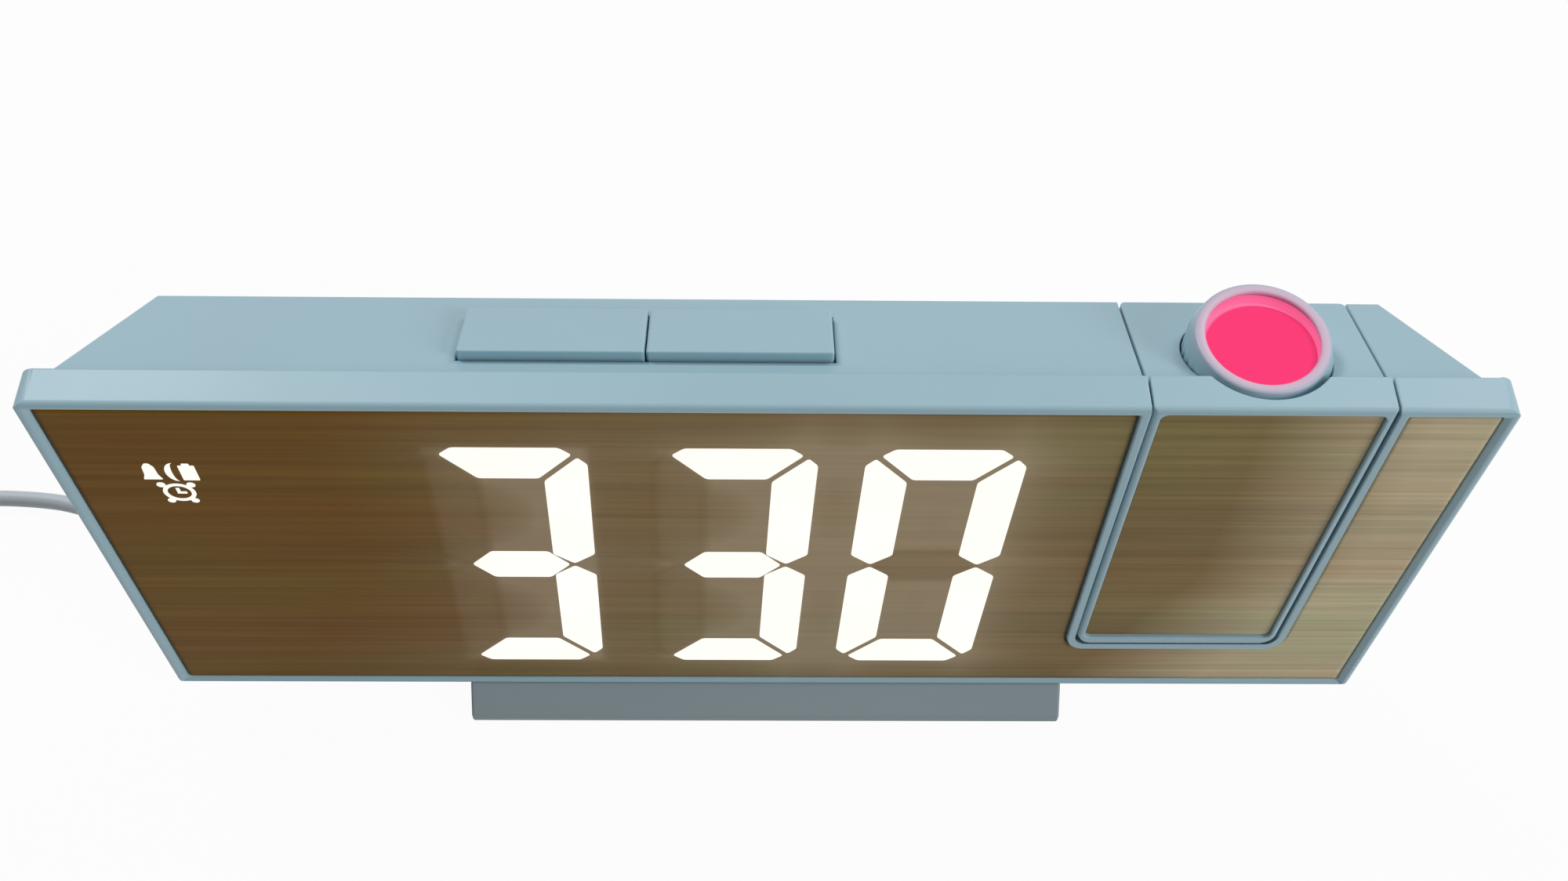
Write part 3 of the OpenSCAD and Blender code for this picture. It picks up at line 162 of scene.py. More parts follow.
def smooth_curve(points, steps):
    """A Catmull-Rom curve: each stretch is the cubic whose slope at a point is half the way between the
    point's two neighbours."""
    p = np.asarray(points, float)
    p = np.vstack([2 * p[0] - p[1], p, 2 * p[-1] - p[-2]])
    a, b, c, d = p[:-3, None], p[1:-2, None], p[2:-1, None], p[3:, None]
    t = (np.arange(steps) / steps)[None, :, None]
    curve = 0.5 * (2 * b + (c - a) * t + (2 * a - 5 * b + 4 * c - d) * t**2 + (3 * b - 3 * c + d - a) * t**3)
    return np.vstack([curve.reshape(-1, 3), p[-2]])


def tube(path, radius, sides):
    """A round tube: at each point of the path, a circle square to the path's direction, whose first radius
    is level."""
    ahead = np.gradient(path, axis=0)
    ahead /= np.linalg.norm(ahead, axis=1)[:, None]
    level = np.cross(ahead, [0, 0, 1])
    level /= np.linalg.norm(level, axis=1)[:, None]
    raised = np.cross(level, ahead)
    angle = np.arange(sides) * 2 * np.pi / sides
    circle = level[:, None] * np.cos(angle)[:, None] + raised[:, None] * np.sin(angle)[:, None]
    return path[:, None] + radius * circle


def vertex_places(mesh):
    """The mesh's points as rows of x, y and z."""
    places = np.zeros(len(mesh.vertices) * 3)
    mesh.vertices.foreach_get("co", places)
    return places.reshape(-1, 3)


def finished(name, node, width, body, material, shortest=0.0):
    """A merged copy of a CAD node, its flat faces joined, whose sharp edges get a fine round of that width
    where they are longer than the shortest. The large faces then set the shading of the rounds beside them."""
    sharp, level = 28, 0.4  # degrees: over sharp, an edge is rounded; under level, two faces are one
    mesh = frame["nodes"][node].data.copy()
    bm = bmesh.new()
    bm.from_mesh(mesh)
    bmesh.ops.remove_doubles(bm, verts=bm.verts, dist=node_merge)
    bmesh.ops.dissolve_limit(bm, angle_limit=math.radians(level), verts=bm.verts, edges=bm.edges)
    weights = bm.edges.layers.float.new("bevel_weight_edge")
    for edge in bm.edges:
        edge[weights] = float(edge.calc_face_angle(0) > math.radians(sharp) and edge.calc_length() > shortest)
    bm.to_mesh(mesh)
    bm.free()
    made = settle(name, mesh, material, body, [node], sharp)
    bevel = made.modifiers.new("edges", "BEVEL")
    bevel.width = width
    bevel.segments = 3
    bevel.limit_method = "WEIGHT"
    bevel.harden_normals = True
    bevel.use_clamp_overlap = False
    flat = made.modifiers.new("flat faces", "WEIGHTED_NORMAL")
    flat.keep_sharp = True


# ================= material helpers =================

def add(tree, kind, inputs=None, **settings):
    """A node of that kind; inputs holds values, or other nodes' outputs to link, by socket name or number."""
    made = tree.nodes.new(kind)
    for key, value in settings.items():
        setattr(made, key, value)
    for key, value in (inputs or {}).items():
        if isinstance(value, bpy.types.NodeSocket):
            tree.links.new(value, made.inputs[key])
        else:
            made.inputs[key].default_value = value
    return made


def colour(red, green, blue):
    """A colour from its shares of 255 on a screen: the screen's curve turned back into light."""
    share = np.array([red, green, blue]) / 255
    light = np.where(share <= 0.04045, share / 12.92, ((share + 0.055) / 1.055) ** 2.4)
    return (*light.tolist(), 1.0)


def ramp(tree, fac, stops):
    """A colour ramp through the given places and colours."""
    made = add(tree, "ShaderNodeValToRGB", {"Fac": fac})
    elements = made.color_ramp.elements
    while len(elements) < len(stops):
        elements.new(0.5)
    for element, (place, value) in zip(elements, stops):
        element.position = place
        element.color = value
    return made.outputs["Color"]


def placed(tree, scale):
    """Object coordinates, stretched by a scale for each axis."""
    coordinates = add(tree, "ShaderNodeTexCoord")
    mapping = add(tree, "ShaderNodeMapping", {"Vector": coordinates.outputs["Object"], "Scale": scale})
    return mapping.outputs["Vector"]


def noise(tree, vector, scale=1.0, detail=3.0, roughness=0.55):
    """A noise value of about 0.2 to 0.8."""
    made = add(tree, "ShaderNodeTexNoise", {"Vector": vector, "Scale": scale, "Detail": detail,
                                            "Roughness": roughness})
    return made.outputs["Fac"]


def spread(tree, value, low, high, to_low=0.0, to_high=1.0):
    """A value carried from one range to another, held at its ends."""
    made = add(tree, "ShaderNodeMapRange", {"Value": value, "From Min": low, "From Max": high,
                                            "To Min": to_low, "To Max": to_high})
    return made.outputs["Result"]


def math_of(tree, operation, a, b):
    """The result of a Math node on two values."""
    return add(tree, "ShaderNodeMath", {0: a, 1: b}, operation=operation).outputs["Value"]


def mix(tree, factor, a, b, blend="MIX"):
    """Two colours mixed by a factor."""
    made = add(tree, "ShaderNodeMix", {"Factor": factor}, data_type="RGBA", blend_type=blend)
    for number, value in ((6, a), (7, b)):
        if isinstance(value, bpy.types.NodeSocket):
            tree.links.new(value, made.inputs[number])
        else:
            made.inputs[number].default_value = value
    return made.outputs[2]


def group(name, inputs, outputs):
    """An empty shader node group with its sockets; returns the group, its input node and its output node."""
    tree = bpy.data.node_groups.new(name, "ShaderNodeTree")
    for label, kind, value in inputs:
        socket = tree.interface.new_socket(label, in_out="INPUT", socket_type=kind)
        socket.default_value = value
    for label, kind in outputs:
        tree.interface.new_socket(label, in_out="OUTPUT", socket_type=kind)
    return tree, tree.nodes.new("NodeGroupInput"), tree.nodes.new("NodeGroupOutput")


def placed_group(tree, made_group, inputs):
    """A group inside a material, with the material's own values."""
    return add(tree, "ShaderNodeGroup", inputs, node_tree=made_group)


def shader(name, **values):
    """A new material, its tree and its Principled BSDF, with constant values on the shader's own sockets."""
    material = bpy.data.materials.new(name)
    material.use_nodes = True
    tree = material.node_tree
    principled = tree.nodes["Principled BSDF"]
    for key, value in values.items():
        principled.inputs[key.replace("_", " ")].default_value = value
    return material, tree, principled


def bump(tree, principled, height, distance):
    """Relief of the given depth on the shader's normal."""
    made = add(tree, "ShaderNodeBump", {"Height": height, "Distance": distance, "Strength": 1.0})
    tree.links.new(made.outputs["Normal"], principled.inputs["Normal"])


def make_moulded_group():
    """Moulded plastic: a faint slow mottle in colour, and a fine even grain in relief and sheen."""
    inputs = [("Colour", "NodeSocketColor", (0.5, 0.5, 0.5, 1)), ("Mottle", "NodeSocketFloat", 0.05),
              ("Grain", "NodeSocketFloat", 2500.0), ("Sheen", "NodeSocketFloat", 0.5)]
    outputs = [("Colour", "NodeSocketColor"), ("Roughness", "NodeSocketFloat"), ("Height", "NodeSocketFloat")]
    tree, given, out = group("Moulded surface", inputs, outputs)
    place = placed(tree, (1, 1, 1))
    slow = noise(tree, place, 35.0, 2.0)
    shade = math_of(tree, "MULTIPLY_ADD", math_of(tree, "SUBTRACT", slow, 0.5), given.outputs["Mottle"])
    tree.nodes[-1].inputs[2].default_value = 1.0
    tinted = add(tree, "ShaderNodeVectorMath", {0: given.outputs["Colour"]}, operation="SCALE")
    tree.links.new(shade, tinted.inputs["Scale"])
    fine = add(tree, "ShaderNodeTexNoise", {"Vector": place, "Detail": 2.0, "Roughness": 0.5})
    tree.links.new(given.outputs["Grain"], fine.inputs["Scale"])
    rough = math_of(tree, "ADD", given.outputs["Sheen"], spread(tree, slow, 0.3, 0.7, -0.04, 0.04))
    tree.links.new(tinted.outputs["Vector"], out.inputs["Colour"])
    tree.links.new(rough, out.inputs["Roughness"])
    tree.links.new(fine.outputs["Fac"], out.inputs["Height"])
    return tree


MOULDED = make_moulded_group()


def moulded(name, base, sheen=0.5, grain=2500.0, relief=0.012 * MM):
    """Plastic with a fine moulded grain."""
    material, tree, principled = shader(name)
    skin = placed_group(tree, MOULDED, {"Colour": base, "Mottle": 0.08, "Grain": grain, "Sheen": sheen})
    tree.links.new(skin.outputs["Colour"], principled.inputs["Base Color"])
    tree.links.new(skin.outputs["Roughness"], principled.inputs["Roughness"])
    bump(tree, principled, skin.outputs["Height"], relief)
    return material


def make_grain_group():
    """Printed wood grain that runs along x: long thin fibres, wider bands and slow clouds."""
    layers = (("Fibre", (14, 14, 1150), 4.0), ("Band", (7, 7, 260), 3.0), ("Cloud", (16, 16, 55), 2.0))
    tree, _, out = group("Wood grain", [], [(label, "NodeSocketFloat") for label, _, _ in layers])
    for label, stretch, detail in layers:
        tree.links.new(noise(tree, placed(tree, stretch), 1.0, detail, 0.6), out.inputs[label])
    return tree


GRAIN = make_grain_group()


def wood_film(name, stops, low, high):
    """Wood-grain film. Its ground goes through the given colours from left to right, slanting away low down:
    partly its print, partly a painted reflection that pales it towards the right. Clouds tint it reddish and
    olive, and the digits' painted light lies over it: a faint bleed over the unlit strokes, a glow round the
    lit ones."""
    # the slant tilts the edge of the painted reflection below this height
    slant_under, slant_share = 42.5 * MM, 0.45
    painted_bleed_share, painted_glow_share = 0.08, 0.4
    cloud_share = 0.8
    material, tree, principled = shader(name, Specular_IOR_Level=0.06)
    grain = placed_group(tree, GRAIN, {})
    coordinates = add(tree, "ShaderNodeTexCoord")
    place = add(tree, "ShaderNodeSeparateXYZ", {"Vector": coordinates.outputs["Object"]})
    below = math_of(tree, "MINIMUM", math_of(tree, "SUBTRACT", place.outputs["Z"], slant_under), 0.0)
    reflection_slant = math_of(tree, "MULTIPLY", below, slant_share)
    print_and_reflection = ramp(tree, spread(tree, math_of(tree, "SUBTRACT", place.outputs["X"], reflection_slant), low, high), stops)
    fibre = spread(tree, grain.outputs["Fibre"], 0.3, 0.7, 0.84, 1.16)
    band = spread(tree, grain.outputs["Band"], 0.3, 0.7, 0.88, 1.12)
    toned = add(tree, "ShaderNodeVectorMath", {0: print_and_reflection}, operation="SCALE")
    tree.links.new(math_of(tree, "MULTIPLY", fibre, band), toned.inputs["Scale"])
    cloud = grain.outputs["Cloud"]
    red_part = spread(tree, cloud, 0.5, 0.66, 0.0, cloud_share)
    olive_part = spread(tree, cloud, 0.48, 0.34, 0.0, cloud_share)
    reddish = mix(tree, red_part, toned.outputs["Vector"], WOOD_RED, "MULTIPLY")
    clouded = mix(tree, olive_part, reddish, WOOD_OLIVE, "MULTIPLY")
    # painted light from the digits: the bleed and the glow, read from attributes of the panel's points
    painted_bleed = add(tree, "ShaderNodeAttribute", attribute_name="painted_bleed").outputs["Fac"]
    painted_glow = add(tree, "ShaderNodeAttribute", attribute_name="painted_glow").outputs["Fac"]
    painted_bleed_part = math_of(tree, "MULTIPLY", painted_bleed, painted_bleed_share)
    lit_part = math_of(tree, "ADD", painted_bleed_part, math_of(tree, "MULTIPLY", painted_glow, painted_glow_share))
    lit = mix(tree, lit_part, clouded, WOOD_PAINTED_GLOW)
    tree.links.new(lit, principled.inputs["Base Color"])
    tree.links.new(spread(tree, grain.outputs["Fibre"], 0.3, 0.7, 0.5, 0.4), principled.inputs["Roughness"])
    bump(tree, principled, grain.outputs["Fibre"], 0.008 * MM)
    return material


def glowing(name, tint, strength, base=(0.8, 0.8, 0.8, 1), **values):
    """A lit surface with an even tint and a faint slow change of brightness."""
    material, tree, principled = shader(name, Emission_Strength=strength, Base_Color=base, **values)
    place = placed(tree, (1, 1, 1))
    change = spread(tree, noise(tree, place, 60.0, 2.0), 0.3, 0.7, 0.97, 1.03)
    toned = add(tree, "ShaderNodeVectorMath", {0: tint[:3]}, operation="SCALE")
    tree.links.new(change, toned.inputs["Scale"])
    tree.links.new(toned.outputs["Vector"], principled.inputs["Emission Color"])
    return material


def lens_light(name, centre, radius):
    """The lit lens: hot pink, deeper towards its edge, with a painted highlight, a pale crescent, at the back
    left.
    """
    material, tree, principled = shader(name, Emission_Strength=0.98, Base_Color=(0, 0, 0, 1), Roughness=0.3,
                                        Specular_IOR_Level=0.0)
    flat = placed(tree, (1, 1, 0))
    middle = (centre.x, centre.y, 0)
    # painted highlight: a pale crescent round a point just off the lens's middle
    highlight_centre = (centre.x + 0.5 * MM, centre.y - 0.6 * MM, 0)
    out = add(tree, "ShaderNodeVectorMath", {0: flat, 1: middle}, operation="DISTANCE").outputs["Value"]
    over = add(tree, "ShaderNodeVectorMath", {0: flat, 1: highlight_centre}, operation="DISTANCE").outputs["Value"]
    stops = [(0.0, colour(255, 64, 122)), (1.0, colour(226, 56, 108))]
    pink = ramp(tree, spread(tree, out, radius - MM, radius), stops)
    pale = mix(tree, spread(tree, over, radius - 0.15 * MM, radius + 0.2 * MM), pink, colour(255, 122, 168))
    tree.links.new(pale, principled.inputs["Emission Color"])
    return material


def rim_with_painted_light(name, base, tint, centre, near, far):
    """Plastic with the lens's pink light painted into its colour, most near the axis through the centre."""
    material = moulded(name, base, 0.42)
    tree = material.node_tree
    skin = tree.nodes["Principled BSDF"].inputs["Base Color"]
    own = skin.links[0].from_socket
    away = add(tree, "ShaderNodeVectorMath", {0: placed(tree, (1, 1, 0)), 1: (centre.x, centre.y, 0)},
               operation="DISTANCE").outputs["Value"]
    tree.links.new(mix(tree, spread(tree, away, near, far, 1.0, 0.0), own, tint), skin)
    return material


def metal(name, base, roughness):
    """Plated metal with fine brushing."""
    material, tree, principled = shader(name, Metallic=1.0)
    fine = noise(tree, placed(tree, (400, 3000, 3000)), 1.0, 3.0)
    principled.inputs["Base Color"].default_value = base
    rough = spread(tree, fine, 0.3, 0.7, roughness - 0.08, roughness + 0.08)
    tree.links.new(rough, principled.inputs["Roughness"])
    bump(tree, principled, fine, 0.003 * MM)
    return material


def circuit_board(name):
    """Green board: solder mask over darker tracks in a square net of lines."""
    material, tree, principled = shader(name, Roughness=0.35, Specular_IOR_Level=0.5)
    cells = add(tree, "ShaderNodeTexBrick", {
        "Vector": placed(tree, (1, 1, 1)), "Scale": 260.0, "Mortar Size": 0.04, "Mortar": colour(52, 138, 84),
        "Color1": colour(24, 92, 58), "Color2": colour(28, 104, 64)})
    tree.links.new(cells.outputs["Color"], principled.inputs["Base Color"])
    bump(tree, principled, cells.outputs["Fac"], 0.02 * MM)
    return material


def clear(name, tint, roughness=0.05, transmission=1.0):
    """Clear moulded plastic, very slightly uneven."""
    material, tree, principled = shader(name, Base_Color=tint, Transmission_Weight=transmission, IOR=1.49)
    fine = noise(tree, placed(tree, (1, 1, 1)), 300.0, 2.0)
    tree.links.new(spread(tree, fine, 0.3, 0.7, roughness, roughness + 0.04), principled.inputs["Roughness"])
    return material


def frosted(name):
    """Milky film that lets part of the light through."""
    material, tree, principled = shader(name, Transmission_Weight=0.35, Roughness=0.6)
    fine = noise(tree, placed(tree, (1, 1, 1)), 900.0, 3.0)
    tree.links.new(ramp(tree, fine, [(0.3, colour(226, 226, 222)), (0.7, colour(240, 240, 236))]),
                   principled.inputs["Base Color"])
    return material


# What the film's reddish and olive clouds multiply its colour by, and the colour of the digits' light painted
# onto it
WOOD_RED = (1.0, 0.86, 0.78, 1)
WOOD_OLIVE = (0.97, 1.16, 1.05, 1)
WOOD_PAINTED_GLOW = colour(214, 196, 168)


def make_materials():
    """Every finish of the clock, by the record's slot name, and besides them the barrel and rim, with the
    lens's pink light painted on them.
    """
    # The film's ground, dark brown at the left to pale at the right: partly its print, partly a painted
    # reflection that pales it towards the right
    film_print_and_reflection = [(0.18, colour(116, 84, 26)), (0.42, colour(131, 108, 67)), (0.84, colour(136, 115, 76)),
            (0.96, colour(200, 185, 152))]
    powder_blue = colour(155, 187, 199)
    return {
        "shell": moulded("Powder blue plastic", powder_blue, 0.42),
        "stand": moulded("Grey blue plastic", colour(140, 156, 162), 0.5),
        "wood_film": wood_film("Wood film", film_print_and_reflection, panel_low.x, panel_high.x),
        "light_film": frosted("Frosted film"),
        "white": moulded("White reflector plastic", colour(232, 232, 226), 0.6),
        "digit_light": glowing("Lit diffuser", colour(255, 252, 244), 0.96, (0.05, 0.05, 0.05, 1),
                               Roughness=0.5),
        "board": circuit_board("Circuit board"),
        "black": moulded("Black plastic", colour(34, 34, 37), 0.5),
        "led": moulded("Light chip", colour(240, 228, 160), 0.4),
        "steel": metal("Plated steel", (0.62, 0.63, 0.65, 1), 0.32),
        "rubber": moulded("Black rubber", colour(30, 30, 32), 0.8, relief=0.03 * MM),
        "wire": moulded("Red wire sleeve", colour(160, 34, 30), 0.45),
        "clear": clear("Clear lens", (0.95, 0.98, 1.0, 1)),
        "slide": clear("Display slide", (0.10, 0.09, 0.14, 1), 0.1, 0.4),
        "lens": lens_light("Lit pink lens", (lens_low + lens_high) / 2, (lens_high.x - lens_low.x) / 2),
        # the barrel's pink emission is painted light: the lens's pink light on its inner wall
        "barrel": glowing("Lens barrel with painted glow", colour(240, 96, 146), 0.85, (0.3, 0.08, 0.14, 1), Roughness=0.35,
                          Specular_IOR_Level=0.3),
        # the rim's pink near the lens is painted light from the lens
        "rim": rim_with_painted_light("Blue plastic with painted pink light", powder_blue, colour(214, 180, 204),
                       (ring_low + ring_high) / 2, 8.0 * MM, 9.3 * MM),
        "lead": moulded("Light grey lead sleeve", colour(198, 206, 212), 0.5, grain=1800.0),
        "contact": metal("Contact plating", (0.72, 0.72, 0.73, 1), 0.22),
    }


# ================= power lead =================

lead_d = 2.8 * MM
lead_r = lead_d / 2
lead_exit = np.array([(sleeve_low.x + sleeve_high.x) / 2, sleeve_high.y, (sleeve_low.z + sleeve_high.z) / 2])
# Run of the lead from its exit: sideways, backwards, and how much of its height is left
LEAD_RUN = [
    (0, 0, 1), (0, .005, .99), (-.0002, .0095, .94), (-.0012, .014, .82), (-.003, .0176, .65),
    (-.006, .020, .46), (-.010, .0208, .28), (-.015, .020, .13), (-.0205, .0175, .04), (-.026, .0135, .01),
    (-.0312, .0085, 0), (-.0365, .0025, 0), (-.0415, -.0035, 0), (-.0468, -.0083, 0), (-.0525, -.0109, 0),
    (-.0585, -.0111, 0), (-.065, -.0096, 0), (-.0715, -.0089, 0), (-.078, -.0088, 0), (-.0845, -.0095, 0),
    (-.091, -.0119, 0), (-.097, -.0139, 0), (-.103, -.0147, 0),
]
# Run of the lead's end from the coil's right side to the plug: sideways, backwards and height
END_RUN = [
    (0, 0, .0098), (0, -.0059, .0096), (-.0001, -.0119, .0086), (-.0004, -.0175, .0068),
    (-.0012, -.022, .0052), (-.0028, -.0258, .0043), (-.0052, -.0285, .004), (-.008, -.0297, .004),
]
COIL_TURNS = 12.75
POINTS_A_TURN = 28


def stepped(turns, starts, length=0.25):
    """How many of the steps that begin at the given turns are behind; each takes a quarter of a turn."""
    return sum(np.clip((turns - start) / length, 0, 1) for start in starts)


def coil_path():
    """The coil's turns, clockwise from above: lanes side by side, outside to inside on the lowest layer, back
    outwards on the next, and so on; the last turn swings out over the layer below it."""
    turns = np.linspace(0, COIL_TURNS, int(COIL_TURNS * POINTS_A_TURN) + 1)
    lane = stepped(turns, (0.75, 1.75, 2.75, 7.75, 8.75, 9.75)) - stepped(turns, (4.25, 5.25, 6.25))
    lane = np.minimum(lane, 3 * (COIL_TURNS - turns))
    layer = stepped(turns, (3.5, 7.0, 10.5))
    centre_x, centre_y = (coil_low.x + coil_high.x) / 2, (coil_low.y + coil_high.y) / 2
    radius = (coil_high.x - coil_low.x) / 2 - lead_r - lane * lead_d
    angle = -np.pi / 2 - 2 * np.pi * turns
    return np.stack([centre_x + radius * np.cos(angle), centre_y + radius * np.sin(angle),
                     coil_low.z + lead_r + layer * lead_d], axis=-1)


def add_lead(material):
    """The power lead: from its sleeve down to the table, along it to the coil, round the coil and to its
    plug."""
    offset = np.array(LEAD_RUN)
    height = lead_r + offset[:, 2] * (lead_exit[2] - lead_r)
    run = np.stack([lead_exit[0] + offset[:, 0], lead_exit[1] + offset[:, 1], height], axis=-1)
    coil = coil_path()
    end = np.array(END_RUN) + [coil[-1, 0], coil[-1, 1], 0]
    first = smooth_curve(run, 4)
    last = smooth_curve(end, 5)
    path = np.vstack([first, coil, last[1:]])
    path[:, 2] = np.maximum(path[:, 2], lead_r)
    sides = 12
    points = tube(path, lead_r, sides)
    ends = [range(sides), [len(path) * sides - 1 - i for i in range(sides)]]
    faces = [*grid_faces(len(path), sides, True), *ends]
    lead = piece("power_lead", points, faces, material, "clock", ["lead", "lead_coil", "lead_end"],
                 sharp=60)
    close_poles(lead)
    length = np.linalg.norm(np.diff(path, axis=0), axis=1).sum()
    print(f"lead length {length:.4f} m")


# ================= wood front =================

pivot_y, pivot_z = 12.5 * MM, 28 * MM  # the projector's tilt axis, in the case frame


def opening_outline(samples):
    """Half-width and height along the right half of the panel's opening round the projector, from its middle
    to its side: the round-edged drum about the tilt axis, where the panel's front cuts it."""
    half, drum_r, edge = 17.5 * MM, 19.62 * MM, 3.3 * MM
    depth = pivot_y - (panel_low.y - face_y)
    turn = np.linspace(0, np.pi / 2, samples)
    width = half - edge + edge * np.sin(turn)
    radius = drum_r - edge + edge * np.cos(turn)
    return width, pivot_z - np.sqrt(radius**2 - depth**2)


def distance_to(outline, x, z):
    """Signed distance from a convex outline's nearest side, below zero inside; points go anticlockwise."""
    start = np.asarray(outline)
    along = np.roll(start, -1, axis=0) - start
    along /= np.linalg.norm(along, axis=1)[:, None]
    away = [(x - p[0]) * d[1] - (z - p[1]) * d[0] for p, d in zip(start, along)]
    return np.max(away, axis=0)


# A digit's size and the size of its strokes; the row starts at row_x0 and leans with height by digit_lean
digit_w = 21.6 * MM
digit_gap = 6.3 * MM
colon_room = 2.8 * MM
row_x0 = -74.8 * MM
digit_z = digits_low.z - foot_z
digit_h = digits_high.z - digits_low.z
stroke_v = 6 * MM
stroke_h = 7.5 * MM
stroke_gap = 0.7 * MM
corner_cut = 0.22
tip_run = 1.7 * MM
point_h = 2.7 * MM
digit_lean = 0.03
digit_x = [row_x0 + i * (digit_w + digit_gap) + (colon_room if i > 1 else 0) for i in range(4)]
# The lit strokes of each digit that shows a number, by the digit's place; the first place is dark
LIT = {1: (0, 1, 2, 3, 6), 2: (0, 1, 2, 3, 6), 3: (0, 1, 2, 3, 4, 5)}


def strokes():
    """The seven strokes of a digit, from the top one clockwise, the middle one last. Level strokes are blunt
    trapeziums, upright ones end in a slant and a point, and the middle one has two points."""
    s, g, w, h = corner_cut, stroke_gap, digit_w, digit_h
    inner = s * stroke_v + g
    level = np.array([(inner, h - s * stroke_h), (stroke_v + g, h - stroke_h),
                      (w - stroke_v - g, h - stroke_h), (w - inner, h - s * stroke_h),
                      (w - inner - tip_run, h), (inner + tip_run, h)])
    mid = h / 2 + g / 2
    upright = np.array([(0, mid + point_h), (stroke_v / 2, mid), (stroke_v, mid + point_h),
                        (stroke_v, h - stroke_h - g), (s * stroke_v, h - s * stroke_h - g),
                        (0, h - s * stroke_h - g - tip_run)])
    x0, run = stroke_v / 2 + g, point_h + 0.3 * MM
    under, over = h / 2 - stroke_h / 2, h / 2 + stroke_h / 2
    middle = np.array([(x0, h / 2), (x0 + run, under), (w - x0 - run, under),
                       (w - x0, h / 2), (w - x0 - run, over), (x0 + run, over)])

    def flip_x(p):
        """The stroke on the digit's other side."""
        return (p * [-1, 1] + [w, 0])[::-1]

    def flip_z(p):
        """The stroke upside down."""
        return (p * [1, -1] + [0, h])[::-1]

    return [level, flip_x(upright), flip_x(flip_z(upright)), flip_z(level), flip_z(upright), upright, middle]


def placed_stroke(stroke, place):
    """A stroke of the digit at that place, leaning with height, in x and z of the case frame."""
    lean = digit_lean * (stroke[:, 1] - digit_h / 2)
    return np.stack([stroke[:, 0] + lean + digit_x[place], stroke[:, 1] + digit_z], axis=-1)


def all_strokes(lit):
    """Outlines of the strokes that are lit, or of those that aren't, in the digits that show a number."""
    return [placed_stroke(stroke, place) for place in LIT for i, stroke in enumerate(strokes())
            if (i in LIT[place]) == lit]


def softened(outline, radius, steps=6):
    """The outline with each corner eased: a parabola from radius before the corner to radius after it."""
    p = np.asarray(outline)
    before, after = np.roll(p, 1, axis=0) - p, np.roll(p, -1, axis=0) - p
    before *= (radius / np.linalg.norm(before, axis=1))[:, None]
    after *= (radius / np.linalg.norm(after, axis=1))[:, None]
    t = np.linspace(0, 1, steps)[None, :, None]
    eased = p[:, None] + (1 - t) ** 2 * before[:, None] + t**2 * after[:, None]
    return eased.reshape(-1, 2)


def plate(outline, y_front, y_back):
    """A flat plate: the outline at its front and at its back, joined by a wall."""
    x, z = np.asarray(outline).T
    points = np.concatenate([at(x, y_front, z), at(x, y_back, z)])
    n = len(x)
    walls = [[i, (i + 1) % n, (i + 1) % n + n, i + n] for i in range(n)]
    return points, [range(n), range(2 * n - 1, n - 1, -1), *walls]


def plates(name, outlines, y_front, y_back, material, body, replaces=()):
    """Flat plates as one piece."""
    points, faces = [], []
    for outline in outlines:
        first = sum(map(len, points))
        more, its_faces = plate(outline, y_front, y_back)
        points.append(more)
        faces += [[first + i for i in face] for face in its_faces]
    made = piece(name, np.concatenate(points), faces, material, body, replaces)
    close_poles(made)
    return made


def panel_patch(left, right, z, columns):
    """A patch of the panel's face: rows at the given heights, each spread evenly from its left end to its
    right end."""
    share = np.linspace(0, 1, columns)
    x = np.asarray(left)[:, None] * (1 - share) + np.asarray(right)[:, None] * share
    return at(x, panel_low.y - face_y, np.broadcast_to(z[:, None], x.shape))


